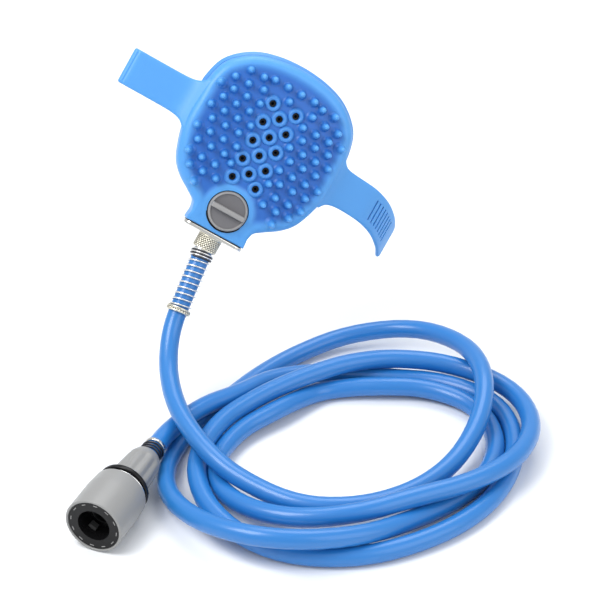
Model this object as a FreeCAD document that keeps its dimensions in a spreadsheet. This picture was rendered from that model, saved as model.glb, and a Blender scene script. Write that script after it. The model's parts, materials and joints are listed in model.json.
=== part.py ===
import FreeCAD, Part
import Sketcher

import math
import os

# Palm-worn bath sprayer: a blue silicone scrubbing face on a rigid water chamber, a push-button valve
# in its neck, a hose that lies in loose turns and a snap-on tap connector at the far end.
#
# The row frame has +Z up and its origin at the middle of the palm rest. Three local frames are used:
#   head       X across the palm, Y up the head away from the hose, Z out of the scrubbing face
#   connector  Z from the open mouth towards the hose, centred on the connector's axis
#   floor      origin on the floor under the middle of the hose turns, axes along the row frame

Vec = FreeCAD.Vector
Rot = FreeCAD.Rotation

doc = FreeCAD.newDocument("bath_sprayer")
sheet = doc.addObject("Spreadsheet::Sheet", "Sizes")

SIZES = {
    # head
    "head_width": 100, "front_top": 8, "back_low": -15, "front_radius": 400, "back_radius": 600,
    "dome_middle": -30, "skin_wall": 2, "plate_wall": 2.2, "wall_gap": 0.3, "joint_level": -9,
    "gasket_thick": 0.9, "neck_end": -84.3, "duct_level": -4.2,
    # scrubbing face
    "ring_dia": 9.4, "ring_rise": 2.4, "jet_dia": 4.4, "jet_pitch": 13, "jet_column": 8.3, "plate_jet": 2,
    "nub_base": 4.4, "nub_tip": 2.6, "nub_rise": 4.6, "nub_step": 9.3,
    # push button and valve
    "button_place": -68, "button_dia": 25, "button_low": 3.4, "button_thick": 4.4, "ridge_long": 24,
    "ridge_wide": 3.2, "ridge_rise": 2.4, "bezel_dia": 27.6, "bezel_bore": 25.4, "bezel_low": 1.9,
    "bezel_top": 5.4, "valve_dia": 22, "valve_low": -11, "valve_top": 0.5, "well_dia": 8.2,
    "well_low": -10.7, "stem_dia": 8, "stem_low": -8.6, "spring_seat": -3.5, "seal_wide": 1.2,
    # inlet
    "plate_across": 41, "plate_deep": 17.6, "flange_thick": 2.2, "neck_seal": 0.6, "inlet_dia": 11,
    "inlet_bore": 7, "ferrule_dia": 16, "ferrule_long": 9, "relief_long": 41, "relief_dia": 15,
    "wire_dia": 1, "crimp_dia": 15.4, "crimp_long": 2.5,
    # straps
    "strap_wide": 24, "strap_thick": 2.6, "hinge_place": 52.2, "hook_reach": 96, "hook_fold": 9,
    "slot_count": 8, "slot_wide": 1.2, "slot_long": 14, "slot_pitch": 3.6, "strap_level": -5,
    # hose
    "hose_dia": 12, "coil_half_x": 112, "coil_half_y": 120, "coil_high": 25, "hole_half_x": 72,
    "hole_half_y": 52, "hole_x": -2, "hole_y": -13, "coil_round": 9,
    # connector
    "sleeve_dia": 36, "sleeve_rear": 34.4, "sleeve_long": 34.8, "sleeve_bore": 33, "web_at": 25,
    "web_thick": 3, "barrel_dia": 28, "mouth_dia": 20.5, "seat_dia": 14.2,
    "duct_dia": 9, "collar_dia": 32.6, "collar_long": 5, "stop_at": 38, "stop_thick": 3.2,
    "nut_at": 41.6, "nut_long": 30.5, "nut_front": 24.4, "nut_middle": 21.4, "nut_rear": 16.3,
    "thread_dia": 18, "claw_at": 8, "claw_long": 4, "claw_wide": 5, "claw_tip": 8.1, "run_gap": 0.08, "tail_at": 58,
    # placing
    "relief_x": -0.38, "relief_y": -0.58, "relief_z": -0.72, "head_lean": 28, "head_roll": 29.4, "head_yaw": 9, "palm_y": -25, "floor_x": 59, "floor_y": -116,
    "floor_z": -145, "mouth_x": -152, "mouth_y": -108, "axis_x": 0.38, "axis_y": 0.925,
}
for row, (alias, value) in enumerate(SIZES.items(), start=1):
    sheet.set(f"A{row}", alias)
    sheet.set(f"B{row}", str(value))
    sheet.setAlias(f"B{row}", alias)
doc.recompute()


def size(alias):
    """One driving dimension, in millimetres or degrees."""
    return float(getattr(sheet, alias))


def formula(text):
    """A sheet expression: every known alias in the text gets the sheet's name in front."""
    words = []
    for word in text.split():
        words.append(f"Sizes.{word}" if word in SIZES else word)
    return " ".join(words)


# ---------------------------------------------------------------- placements

HEAD_TURN = (Rot(Vec(1, 0, 0), 90 - size("head_lean"))
             * Rot(Vec(0, 0, 1), -size("head_roll"))
             * Rot(Vec(0, 1, 0), size("head_yaw")))
PALM = Vec(0, size("palm_y"), size("back_low"))
HEAD = FreeCAD.Placement(HEAD_TURN.multVec(PALM) * -1, HEAD_TURN)

FLOOR = FreeCAD.Placement(Vec(size("floor_x"), size("floor_y"), size("floor_z")), Rot())

MOUTH_AXIS = Vec(size("axis_x"), size("axis_y"), 0)
CONNECTOR = FLOOR * FreeCAD.Placement(
    Vec(size("mouth_x"), size("mouth_y"), size("sleeve_dia") / 2), Rot(Vec(0, 0, 1), MOUTH_AXIS))

# turns that lay a primitive's own Z along the head's +Y or -Y
ALONG_Y = Rot(Vec(1, 0, 0), -90)
AGAINST_Y = Rot(Vec(1, 0, 0), 90)


# ---------------------------------------------------------------- building helpers

def bind(feature, **formulas):
    """Bind a feature's properties to the sheet."""
    for name, text in formulas.items():
        feature.setExpression(name, formula(text))
    return feature


def put(feature, x=0, y=0, z=0, turn=None):
    """Place a feature in its local frame."""
    feature.Placement = FreeCAD.Placement(Vec(x, y, z), turn or Rot())
    return feature


def rod(name, dia, length, **place):
    """A cylinder whose diameter and length are sheet formulas."""
    feature = bind(doc.addObject("Part::Cylinder", name), Radius=f"( {dia} ) / 2", Height=length)
    return put(feature, **place)


def taper(name, dia_low, dia_high, length, **place):
    """A cone between two diameters."""
    feature = bind(doc.addObject("Part::Cone", name), Radius1=f"( {dia_low} ) / 2",
                   Radius2=f"( {dia_high} ) / 2", Height=length)
    return put(feature, **place)


def block(name, length, width, height, **place):
    """A box from its low corner."""
    feature = bind(doc.addObject("Part::Box", name), Length=length, Width=width, Height=height)
    return put(feature, **place)


def cut(name, base, *tools):
    """The base with every tool taken away."""
    tool = tools[0] if len(tools) == 1 else fuse(f"{name}_tools", *tools)
    feature = doc.addObject("Part::Cut", name)
    feature.Base = base
    feature.Tool = tool
    return feature


def fuse(name, *shapes):
    """Several shapes made one."""
    feature = doc.addObject("Part::MultiFuse", name)
    feature.Shapes = list(shapes)
    return feature


def solid(name, shape):
    """A feature that holds a shape made with Part's own functions."""
    feature = doc.addObject("Part::Feature", name)
    feature.Shape = shape
    return feature


subparts = []


def finish(node, feature, placement):
    """Name a sub-part and put it where it belongs."""
    feature.Label = node
    feature.Placement = placement.multiply(feature.Placement)
    subparts.append(feature)
    return feature


def body_ring(node, placement, outer, bore, length, start, turn=None, offset=Vec(0, 0, 0)):
    """A turned ring made as a sketch of two circles and a pad."""
    body = doc.addObject("PartDesign::Body", f"{node}_body")
    plane = [item for item in body.Origin.OriginFeatures if item.Role == "XY_Plane"][0]
    sketch = body.newObject("Sketcher::SketchObject", f"{node}_section")
    sketch.AttachmentSupport = [(plane, "")]
    sketch.MapMode = "FlatFace"
    for index, dia in enumerate((outer, bore)):
        sketch.addGeometry(Part.Circle(Vec(0, 0, 0), Vec(0, 0, 1), 5 + index))
        sketch.addConstraint(Sketcher.Constraint("Coincident", index, 3, -1, 1))
        radius = sketch.addConstraint(Sketcher.Constraint("Radius", index, 9 - index))
        sketch.setExpression(f"Constraints[{radius}]", formula(f"( {dia} ) / 2"))
    pad = body.newObject("PartDesign::Pad", f"{node}_pad")
    pad.Profile = sketch
    pad.setExpression("Length", formula(length))
    body.Tip = pad
    body.Placement = FreeCAD.Placement(offset + (turn or Rot()).multVec(Vec(0, 0, start)), turn or Rot())
    return finish(node, body, placement)


# ---------------------------------------------------------------- head shells

# half-widths of the head at places along its axis, from the crown down to the neck
OUTLINE = ((30, 18), (24.5, 33), (13.5, 45.2), (0, 49.8), (-12, 50.4), (-30, 50.4), (-42, 48),
           (-55, 43), (-63, 36), (-69, 27), (-73, 21.5))
CROWN = 31.8
NECK_HALF = 20


def outline_face(inset):
    """The head's outline, drawn in by an inset."""
    scale = size("head_width") / 100
    right = [Vec(half * scale, place, 0) for place, half in OUTLINE] + [Vec(NECK_HALF, -78, 0)]
    left = [Vec(-point.x, point.y, 0) for point in right]
    points = left[::-1] + [Vec(0, CROWN, 0)] + right
    outer = Part.BSplineCurve()
    outer.interpolate(points)
    drawn_in = []
    for point in points:
        along = outer.tangent(outer.parameter(point))[0]
        drawn_in.append(point + Vec(along.y, -along.x, 0) * inset)
    curve = Part.BSplineCurve()
    curve.interpolate(drawn_in)
    neck_left = drawn_in[0]
    neck_right = drawn_in[-1]
    end_right = Vec(NECK_HALF + 0.6 - inset, size("neck_end") + inset, 0)
    end_left = Vec(-end_right.x, end_right.y, 0)
    wire = Part.Wire([curve.toShape(), Part.LineSegment(neck_right, end_right).toShape(),
                      Part.LineSegment(end_right, end_left).toShape(),
                      Part.LineSegment(end_left, neck_left).toShape()])
    return Part.Face(wire)


def dome(radius, level):
    """A ball under or over the head, its poles and seam kept off the head's faces."""
    ball = Part.makeSphere(radius)
    ball.rotate(Vec(0, 0, 0), Vec(1, 0, 0), 90)
    ball.translate(Vec(0, size("dome_middle"), level))
    return ball


def head_solid(inset, front_drop, back_rise, low=-30.0, high=30.0):
    """The head's body between two levels, drawn in by an inset and under its two domes."""
    prism = outline_face(inset).extrude(Vec(0, 0, high - low))
    prism.translate(Vec(0, 0, low))
    front = size("front_radius")
    back = size("back_radius")
    over = dome(front - front_drop, size("front_top") - front)
    under = dome(back - back_rise, size("back_low") + back)
    return prism.common(over).common(under)


def dome_level(x, y, drop=0.0):
    """Height of the front dome over a place of the face."""
    radius = size("front_radius")
    reach = x * x + (y - size("dome_middle")) ** 2
    return size("front_top") - radius + math.sqrt(radius * radius - reach) - drop


def jet_places():
    """The fourteen jets: two columns of five and a middle column of four."""
    pitch = size("jet_pitch")
    side = size("jet_column")
    places = []
    for row in range(5):
        places += [(-side, 4.5 - row * pitch), (side, 4.5 - row * pitch)]
    places += [(0, -2.1 - row * pitch) for row in range(4)]
    return places


# each row of nubs: place along the head, first nub's distance from the middle and nubs on each side
NUB_ROWS = ((17.8, 4.8, 2), (15.9, 20.9, 2), (9, 17.5, 1), (7.8, 27.5, 2), (0.4, 15.4, 4), (-6.8, 18.9, 3),
            (-14.3, 14, 4), (-21.8, 18.4, 3), (-29.8, 15.3, 4), (-37.4, 19.8, 3), (-40.4, 13.6, 1),
            (-46, 21.6, 3), (-53.4, 16.9, 3), (-61.6, 28, 1))


def nub_places():
    """The staggered grid of nubs, the same on both sides of the middle."""
    places = [(0, 10.3)]
    for place, first, count in NUB_ROWS:
        for index in range(count):
            reach = first + index * size("nub_step")
            places += [(-reach, place), (reach, place)]
    return places


def nub(x, y):
    """One blunt nub, leaning a little outwards near the rim."""
    rise = size("nub_rise") + 1
    cone = Part.makeCone(size("nub_base") / 2, size("nub_tip") / 2, rise)
    tip = Part.makeSphere(size("nub_tip") / 2, Vec(0, 0, rise))
    shape = cone.fuse(tip)
    shape.Placement = FreeCAD.Placement(Vec(x, y, dome_level(x, y) - 1), Rot(Vec(0, 1, 0), x / 4))
    return shape


wall = size("skin_wall")
plate = size("plate_wall")
gap = size("wall_gap")
joint = size("joint_level")
button_y = size("button_place")
duct = size("duct_level")

# the silicone face: a domed skin with side walls, jet rings and nubs
skin = head_solid(0, 0, 0, low=joint)
skin = skin.cut(head_solid(wall, wall, -20, low=-30))
rings = []
bores = [Part.makeCylinder(size("bezel_dia") / 2 + 0.2, 30, Vec(0, button_y, 0))]
for x, y in jet_places():
    level = dome_level(x, y)
    rings.append(Part.makeCylinder(size("ring_dia") / 2, size("ring_rise") + 1, Vec(x, y, level - 1)))
    bores.append(Part.makeCylinder(size("jet_dia") / 2, 20, Vec(x, y, level - 10)))
skin = skin.fuse(rings + [nub(x, y) for x, y in nub_places()])
inlet_gap = Part.makeCylinder(size("inlet_dia") / 2 + 0.3, 12, Vec(0, -90, duct), Vec(0, 1, 0))
bores.append(inlet_gap)
skin = skin.cut(bores)
finish("silicone_face", solid("FaceSkin", skin), HEAD)

# the spray plate: the rigid front half of the water chamber
plate_inset = wall + gap
deck = head_solid(plate_inset, plate_inset, 0, low=joint + size("gasket_thick") + 0.1)
deck = deck.cut(head_solid(plate_inset + plate, plate_inset + plate, -20))
jets = [Part.makeCylinder(size("plate_jet") / 2, 30, Vec(x, y, -10)) for x, y in jet_places()]
jets.append(Part.makeCylinder(size("bezel_dia") / 2 + 0.5, 30, Vec(0, button_y, -2)))
jets.append(inlet_gap)
finish("spray_plate", solid("SprayPlate", deck.cut(jets)), HEAD)

# the gasket between the two halves of the chamber
gasket = outline_face(plate_inset + 0.2).cut(outline_face(plate_inset + plate - 0.2))
gasket = gasket.extrude(Vec(0, 0, size("gasket_thick")))
gasket.translate(Vec(0, 0, joint))
finish("chamber_gasket", solid("ChamberGasket", gasket.cut(inlet_gap)), HEAD)

# the back cover: the palm side of the chamber
SCREWS = ((-30, 8), (30, 8), (-30, -50), (30, -50))
POST_DIA = 6.4
SCREW_DIA = 2.6
SCREW_HEAD = 4.6
SCREW_SEAT = -10.8
HEAD_THICK = 1.6
SHANK_LONG = 7.6
cover = head_solid(0, 0, 0, high=joint - 0.05)
cover = cover.cut(head_solid(plate_inset + plate, 0, plate))
screw_bores = [inlet_gap]
for x, y in SCREWS:
    post = Part.makeCylinder(POST_DIA / 2, 30, Vec(x, y, -20))
    cover = cover.fuse(post.common(head_solid(0, 0, 0, high=joint - 0.05)))
    screw_bores.append(Part.makeCylinder(SCREW_DIA / 2, 30, Vec(x, y, -20)))
    screw_bores.append(Part.makeCylinder(SCREW_HEAD / 2, 10, Vec(x, y, SCREW_SEAT - 10)))
finish("back_cover", solid("BackCover", cover.cut(screw_bores)), HEAD)

# the screws, and the bosses that they bite into
screws = []
for x, y in SCREWS:
    shank = Part.makeCylinder(SCREW_DIA / 2 - 0.05, SHANK_LONG, Vec(x, y, SCREW_SEAT))
    head = Part.makeCylinder(SCREW_HEAD / 2 - 0.1, HEAD_THICK, Vec(x, y, SCREW_SEAT - HEAD_THICK))
    cross = Part.makeBox(2.6, 0.6, 0.8, Vec(x - 1.3, y - 0.3, SCREW_SEAT - HEAD_THICK))
    screws.append(shank.fuse(head).cut(cross))
finish("cover_screws", solid("CoverScrews", Part.makeCompound(screws)), HEAD)
bosses = []
for x, y in SCREWS:
    boss = Part.makeCylinder(POST_DIA / 2, 13, Vec(x, y, joint + 0.1))
    boss = boss.common(head_solid(plate_inset + plate + 0.05, plate_inset + plate + 0.05, 0))
    bosses.append(boss.cut(Part.makeCylinder(SCREW_DIA / 2, SHANK_LONG + 0.4, Vec(x, y, SCREW_SEAT))))
finish("screw_bosses", solid("ScrewBosses", Part.makeCompound(bosses)), HEAD)

# ---------------------------------------------------------------- push button and valve

valve = cut("ValveBlock",
            rod("ValveRound", "valve_dia", "valve_top - valve_low", y=button_y, z=size("valve_low")),
            rod("ValveWell", "well_dia", "20", y=button_y, z=size("well_low")),
            rod("ValveSpringSeat", "well_dia + 7", "20", y=button_y, z=size("spring_seat")),
            rod("ValvePort", "5", "12", y=-81, z=-6.3, turn=ALONG_Y),
            rod("ValveOutlet", "5", "14", y=-68, z=-6.3, turn=ALONG_Y))
finish("valve_body", valve, HEAD)

stem = cut("StemGrooved",
           rod("StemRound", "stem_dia", "button_low - stem_low", y=button_y, z=size("stem_low")),
           cut("StemGroove", rod("GrooveOuter", "stem_dia + 4", "seal_wide", y=button_y, z=-7.6),
               rod("GrooveCore", "stem_dia - 2.4", "seal_wide", y=button_y, z=-7.6)))
finish("valve_stem", stem, HEAD)
body_ring("valve_seal", HEAD, "stem_dia", "stem_dia - 2.4", "seal_wide", -7.6,
          offset=Vec(0, button_y, 0))


def spring_solid(radius, wire, start, turns, pitch):
    """A round-wire coil spring with open ends, standing along Z."""
    helix = Part.makeHelix(pitch, pitch * turns, radius)
    circle = Part.Wire(Part.makeCircle(wire / 2, Vec(radius, 0, 0), Vec(0, 1, 0)))
    coil = Part.Wire(helix.Edges).makePipeShell([circle], True, True)
    coil.translate(Vec(0, 0, start))
    return coil


button_spring = spring_solid(5.7, 0.9, size("spring_seat") + 0.6, 3, 1.85)
button_spring.translate(Vec(0, button_y, 0))
finish("button_spring", solid("ButtonSpring", button_spring), HEAD)

button = fuse("ButtonCap",
              rod("ButtonDisc", "button_dia", "button_thick", y=button_y, z=size("button_low")),
              block("ButtonRidge", "ridge_long", "ridge_wide", "ridge_rise + 0.5",
                    x=-size("ridge_long") / 2, y=button_y - size("ridge_wide") / 2,
                    z=size("button_low") + size("button_thick") - 0.5))
finish("push_button", button, HEAD)
body_ring("button_bezel", HEAD, "bezel_dia", "bezel_bore", "bezel_top - bezel_low", size("bezel_low"),
          offset=Vec(0, button_y, 0))

# ---------------------------------------------------------------- inlet and strain relief

neck = size("neck_end")


def neck_plate(node, half_across, deep, thick, y_high):
    """A plate across the neck, with rounded corners and a hole for the inlet."""
    low = y_high - thick
    plate_box = Part.makeBox(2 * half_across, thick, deep, Vec(-half_across, low, duct - deep / 2))
    corners = [edge for edge in plate_box.Edges
               if abs(edge.BoundBox.YLength - thick) < 1e-6 and edge.BoundBox.XLength < 1e-6]
    rounded = plate_box.makeFillet(deep * 0.3, corners)
    hole = Part.makeCylinder(size("inlet_dia") / 2 + 0.1, 3 * thick, Vec(0, low - thick, duct),
                             Vec(0, 1, 0))
    return finish(node, solid(f"{node}_shape", rounded.cut(hole)), HEAD)


half_plate = size("plate_across") / 2
seal_low = neck - size("neck_seal")
plate_low = seal_low - size("flange_thick")
neck_plate("neck_seal", half_plate - 0.8, size("plate_deep") - 1.2, size("neck_seal"), neck)
neck_plate("flange_plate", half_plate, size("plate_deep"), size("flange_thick"), seal_low)

inlet_top = -79.6
inlet = cut("InletTube",
            fuse("InletRound",
                 rod("InletLong", "inlet_dia", str(inlet_top - plate_low + 1), y=inlet_top, z=duct,
                     turn=AGAINST_Y),
                 rod("InletBarb", "inlet_dia - 1.4", "ferrule_long - 2.8", y=plate_low - 0.9, z=duct,
                     turn=AGAINST_Y)),
            rod("InletBore", "inlet_bore", "60", y=inlet_top + 10, z=duct, turn=AGAINST_Y))
finish("inlet_fitting", inlet, HEAD)

ferrule_low = plate_low - size("ferrule_long")
RELIEF_WAY = Vec(size("relief_x"), size("relief_y"), size("relief_z"))
RELIEF = FreeCAD.Placement(HEAD.multVec(Vec(0, ferrule_low, duct)), Rot(Vec(0, 0, 1), RELIEF_WAY))
body_ring("hose_ferrule", HEAD, "ferrule_dia", "inlet_dia + 0.2", "ferrule_long", 0.05, AGAINST_Y,
          Vec(0, plate_low, duct))
RELIEF_TURNS = 11
RELIEF_START = 2.7
relief = spring_solid((size("relief_dia") - size("wire_dia")) / 2, size("wire_dia"), RELIEF_START,
                      RELIEF_TURNS, (size("relief_long") - RELIEF_START - 1) / RELIEF_TURNS)
finish("strain_relief_spring", solid("ReliefSpring", relief), RELIEF)
body_ring("crimp_ring", RELIEF, "crimp_dia", "hose_dia + 0.4", "crimp_long", size("relief_long") + 0.2)

# ---------------------------------------------------------------- straps

strap_half = size("strap_wide") / 2
thick = size("strap_thick")
hinge = size("hinge_place")
level = size("strap_level")


def strap_band(side, points, root_y):
    """A band of even thickness along a path in the plane across the head, from its round root."""
    band = Part.makeCylinder(thick / 2, 2 * strap_half, Vec(side * hinge, root_y - strap_half, level),
                             Vec(0, 1, 0))
    for start, end in zip(points, points[1:]):
        run = Vec(*end) - Vec(*start)
        across = Vec(0, 1, 0)
        normal = run.cross(across).normalize()
        corners = []
        for place, sign in ((start, 1), (end, 1), (end, -1), (start, -1)):
            corners.append(Vec(*place) + normal * (sign * thick / 2) - across * strap_half)
        face = Part.Face(Part.makePolygon(corners + corners[:1]))
        band = band.fuse(face.extrude(across * (2 * strap_half)))
        joint_rod = Part.makeCylinder(thick / 2, 2 * strap_half, Vec(*end) - across * strap_half, across)
        band = band.fuse(joint_rod)
    return band.removeSplitter()


LEFT_ROOT_Y = -19
hook = size("hook_reach")
left_path = [(-hinge, LEFT_ROOT_Y, level), (-hook, LEFT_ROOT_Y, level),
             (-hook - 1.5, LEFT_ROOT_Y, level - 3.2), (-hook + 1, LEFT_ROOT_Y, level - 5),
             (-hook + size("hook_fold"), LEFT_ROOT_Y, level - 5)]
finish("strap_left", solid("StrapLeft", strap_band(-1, left_path, LEFT_ROOT_Y)), HEAD)

RIGHT_ROOT_Y = -21
right_path = [(hinge, RIGHT_ROOT_Y, level), (66, -21.3, level - 2), (80, -22.5, level - 7),
              (92, -26, level - 15), (102, -32, level - 26), (108, -38, level - 37)]
band = strap_band(1, right_path, RIGHT_ROOT_Y)
slots = []
slot_start = Vec(*right_path[2])
slot_run = (Vec(*right_path[4]) - slot_start).normalize()
for index in range(int(size("slot_count"))):
    middle = slot_start + slot_run * (3 + index * size("slot_pitch"))
    slot = Part.makeBox(size("slot_wide"), size("slot_long"), 24,
                        Vec(-size("slot_wide") / 2, -size("slot_long") / 2, -12))
    slot.Placement = FreeCAD.Placement(middle, Rot(Vec(1, 0, 0), slot_run))
    slots.append(slot)
band = band.cut(slots)
finish("strap_right", solid("StrapRight", band), HEAD)

# ---------------------------------------------------------------- hose

hose_radius = size("hose_dia") / 2


def arc_path(points, share=0.45):
    """Straight runs joined by tangent arcs, each as large as its two runs allow."""
    points = [Vec(*point) for point in points]
    edges = []
    radii = []
    start = points[0]
    for before, corner, after in zip(points, points[1:], points[2:]):
        back = (before - corner).normalize()
        ahead = (after - corner).normalize()
        run = min((before - corner).Length, (after - corner).Length)
        half_turn = (math.pi - back.getAngle(ahead)) / 2
        radius = share * run / math.tan(half_turn)
        radii.append(radius)
        enter = corner + back * (share * run)
        leave = corner + ahead * (share * run)
        bisector = (back + ahead).normalize()
        centre = corner + bisector * math.hypot(radius, share * run)
        edges.append(Part.LineSegment(start, enter).toShape())
        edges.append(Part.Arc(enter, centre - bisector * radius, leave).toShape())
        start = leave
    edges.append(Part.LineSegment(start, points[-1]).toShape())
    return Part.Wire(edges), radii


def hose_tube(node, points):
    """A stretch of hose along a hand-laid route, given in the floor frame."""
    path, radii = arc_path(points)
    first = Vec(*points[0])
    circle = Part.Wire(Part.makeCircle(hose_radius, first, Vec(*points[1]) - first))
    tube = path.makePipeShell([circle], True, False)
    even = math.pi * hose_radius ** 2 * path.Length
    print(node, "length", round(path.Length, 1), "radii", [round(radius) for radius in radii],
          "volume over section x length", round(tube.Volume / even, 4))
    return finish(node, solid(f"{node}_tube", tube), FLOOR)


# the hose hangs from the strain relief and comes down on its own turns
relief_exit = FLOOR.inverse().multVec(RELIEF.Base)
relief_bend = FLOOR.inverse().multVec(RELIEF.multVec(Vec(0, 0, 56)))
RISER = [tuple(relief_exit), tuple(relief_bend), (-115, 27, 41), (-111, 3, 33), (-102, -20, 28),
         (-88, -42, 23), (-71, -60, 18)]
hose_tube("hose_riser", RISER)

tail_end = FLOOR.inverse().multVec(CONNECTOR.multVec(Vec(0, 0, size("tail_at"))))
TAIL = [(-72, 29, 17), (-93, 12, 19), (-113, -13, 18), tuple(tail_end)]
hose_tube("hose_tail", TAIL)

# the loose turns as one closed ring
coil_body = doc.addObject("PartDesign::Body", "hose_coil_body")
coil_plane = [item for item in coil_body.Origin.OriginFeatures if item.Role == "XY_Plane"][0]
coil_sketch = coil_body.newObject("Sketcher::SketchObject", "coil_section")
coil_sketch.AttachmentSupport = [(coil_plane, "")]
coil_sketch.MapMode = "FlatFace"
coil_sketch.addGeometry(Part.Ellipse(Vec(0, size("coil_half_y"), 0), Vec(-size("coil_half_x"), 0, 0),
                                     Vec(0, 0, 0)))
hole_middle = Vec(size("hole_x"), size("hole_y"), 0)
coil_sketch.addGeometry(Part.Ellipse(hole_middle + Vec(size("hole_half_x"), 0, 0),
                                     hole_middle + Vec(0, size("hole_half_y"), 0), hole_middle))
coil_pad = coil_body.newObject("PartDesign::Pad", "coil_pad")
coil_pad.Profile = coil_sketch
coil_pad.setExpression("Length", formula("coil_high"))
doc.recompute()
coil_round = coil_body.newObject("PartDesign::Fillet", "coil_round")
coil_round.Base = (coil_pad, ["Face3", "Face4"])
coil_round.setExpression("Radius", formula("coil_round"))
coil_body.Tip = coil_round
finish("hose_coil", coil_body, FLOOR)

# ---------------------------------------------------------------- tap connector

sleeve = cut("SleeveShell",
             fuse("SleeveOuter",
                  rod("SleeveFront", "sleeve_dia", "sleeve_long - 8"),
                  taper("SleeveRear", "sleeve_dia", "sleeve_rear", "8", z=size("sleeve_long") - 8)),
             rod("SleeveMouth", "sleeve_bore", "web_at", z=0),
             rod("SleeveWebBore", "barrel_dia + 2 * run_gap", "60", z=-1),
             rod("SleeveCavity", "sleeve_bore", "40", z=size("web_at") + size("web_thick")))
finish("slide_sleeve", sleeve, CONNECTOR)

CLAW_ANGLES = (100, 220, 340)


def claw_box(name, wide, length, low, high, lift, angle):
    """A radial block for a claw or for its slot."""
    feature = doc.addObject("Part::Box", name)
    feature.Length = high - low
    feature.Width = wide
    feature.Height = length
    turn = Rot(Vec(0, 0, 1), angle)
    feature.Placement = FreeCAD.Placement(turn.multVec(Vec(low, -wide / 2, lift)), turn)
    return feature


claw_wide = size("claw_wide")
claw_long = size("claw_long")
claw_at = size("claw_at")
barrel_radius = size("barrel_dia") / 2
claw_slots = [claw_box(f"ClawSlot{index}", claw_wide + 0.3, claw_long + 0.3, 6, 20, claw_at - 0.15, angle)
              for index, angle in enumerate(CLAW_ANGLES)]
barrel = cut("BarrelBored",
             fuse("BarrelOuter",
                  rod("BarrelRound", "barrel_dia", "stop_at - 1", z=1),
                  rod("BarrelCollar", "collar_dia", "collar_long", z=0.8),
                  rod("BarrelThread", "thread_dia", "57.5 - stop_at", z=size("stop_at"))),
             rod("BarrelMouth", "mouth_dia", "14", z=0),
             rod("BarrelLip", "seat_dia + 3.2", "3", z=13.5),
             rod("BarrelSeat", "seat_dia", "16", z=14),
             rod("BarrelDuct", "duct_dia", "60", z=20),
             *claw_slots)
finish("connector_barrel", barrel, CONNECTOR)

for index, angle in enumerate(CLAW_ANGLES, start=1):
    claw = claw_box(f"Claw{index}", claw_wide, claw_long, size("claw_tip"), barrel_radius - 0.2,
                    claw_at, angle)
    finish(f"claw_{index}", claw, CONNECTOR)

body_ring("socket_oring", CONNECTOR, "seat_dia + 3", "seat_dia + 0.4", "1.8", 14.5)
body_ring("stop_ring", CONNECTOR, "collar_dia", "thread_dia + 0.1", "stop_thick", size("stop_at") + 0.05)
sleeve_spring = spring_solid(15.2, 1.0, size("web_at") + size("web_thick") + 0.6, 4, 2.1)
finish("sleeve_spring", solid("SleeveSpring", sleeve_spring), CONNECTOR)

nut_at = size("nut_at")
nut_half = "nut_long / 2"
ribs = []
for index in range(10):
    rib = block(f"NutRib{index}", "nut_front / 2 - 0.4", "2.2", "nut_long - 8")
    turn = Rot(Vec(0, 0, 1), index * 36)
    rib.Placement = FreeCAD.Placement(turn.multVec(Vec(0, -1.1, 0)) + Vec(0, 0, nut_at), turn)
    ribs.append(rib)
rib_trim = doc.addObject("Part::MultiCommon", "NutRibTrim")
rib_trim.Shapes = [fuse("NutRibs", *ribs),
                   taper("NutEnvelope", "nut_front + 0.4", "nut_rear + 1.6", "nut_long", z=nut_at)]
nut = cut("NutBored",
          fuse("NutOuter",
               taper("NutFront", "nut_front", "nut_middle", nut_half, z=nut_at),
               taper("NutRear", "nut_middle", "nut_rear", nut_half, z=nut_at + size("nut_long") / 2),
               rib_trim),
          rod("NutThread", "thread_dia + 0.16", "17", z=nut_at - 1),
          rod("NutCollet", "hose_dia + 3.4", "10.6", z=nut_at + 15.2),
          rod("NutRearBore", "hose_dia + 0.8", "60", z=nut_at))
finish("clamp_nut", nut, CONNECTOR)
body_ring("hose_collet", CONNECTOR, "hose_dia + 2.4", "hose_dia + 0.4", "9.4", 57.8)

nut_end = nut_at + size("nut_long")
end_spring = spring_solid(6.9, 1.0, nut_end + 0.8, 3, 2.35)
finish("end_spring", solid("EndSpring", end_spring), CONNECTOR)
body_ring("end_ring", CONNECTOR, "hose_dia + 2.6", "hose_dia + 0.4", "2.4", nut_end + 9.6)

# ---------------------------------------------------------------- check and write

doc.recompute()
faults = []
for item in doc.Objects:
    if {"Invalid", "Error"} & set(item.State):
        faults.append(f"{item.Name} {item.State}")
for feature in subparts:
    if feature.Shape.isNull() or not feature.Shape.isValid() or feature.Shape.Volume <= 0:
        faults.append(f"{feature.Label} has no valid shape")
if faults:
    raise RuntimeError("; ".join(faults))

os.makedirs("parts", exist_ok=True)
for feature in subparts:
    feature.Shape.exportStep(f"parts/{feature.Label}.step")
print(len(subparts), "sub-parts written")
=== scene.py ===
import json
import logging
import math
from dataclasses import dataclass
from enum import Enum
from typing import Callable, Sequence

import bmesh
import bpy
from mathutils import Matrix, Vector
from mathutils.kdtree import KDTree


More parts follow.
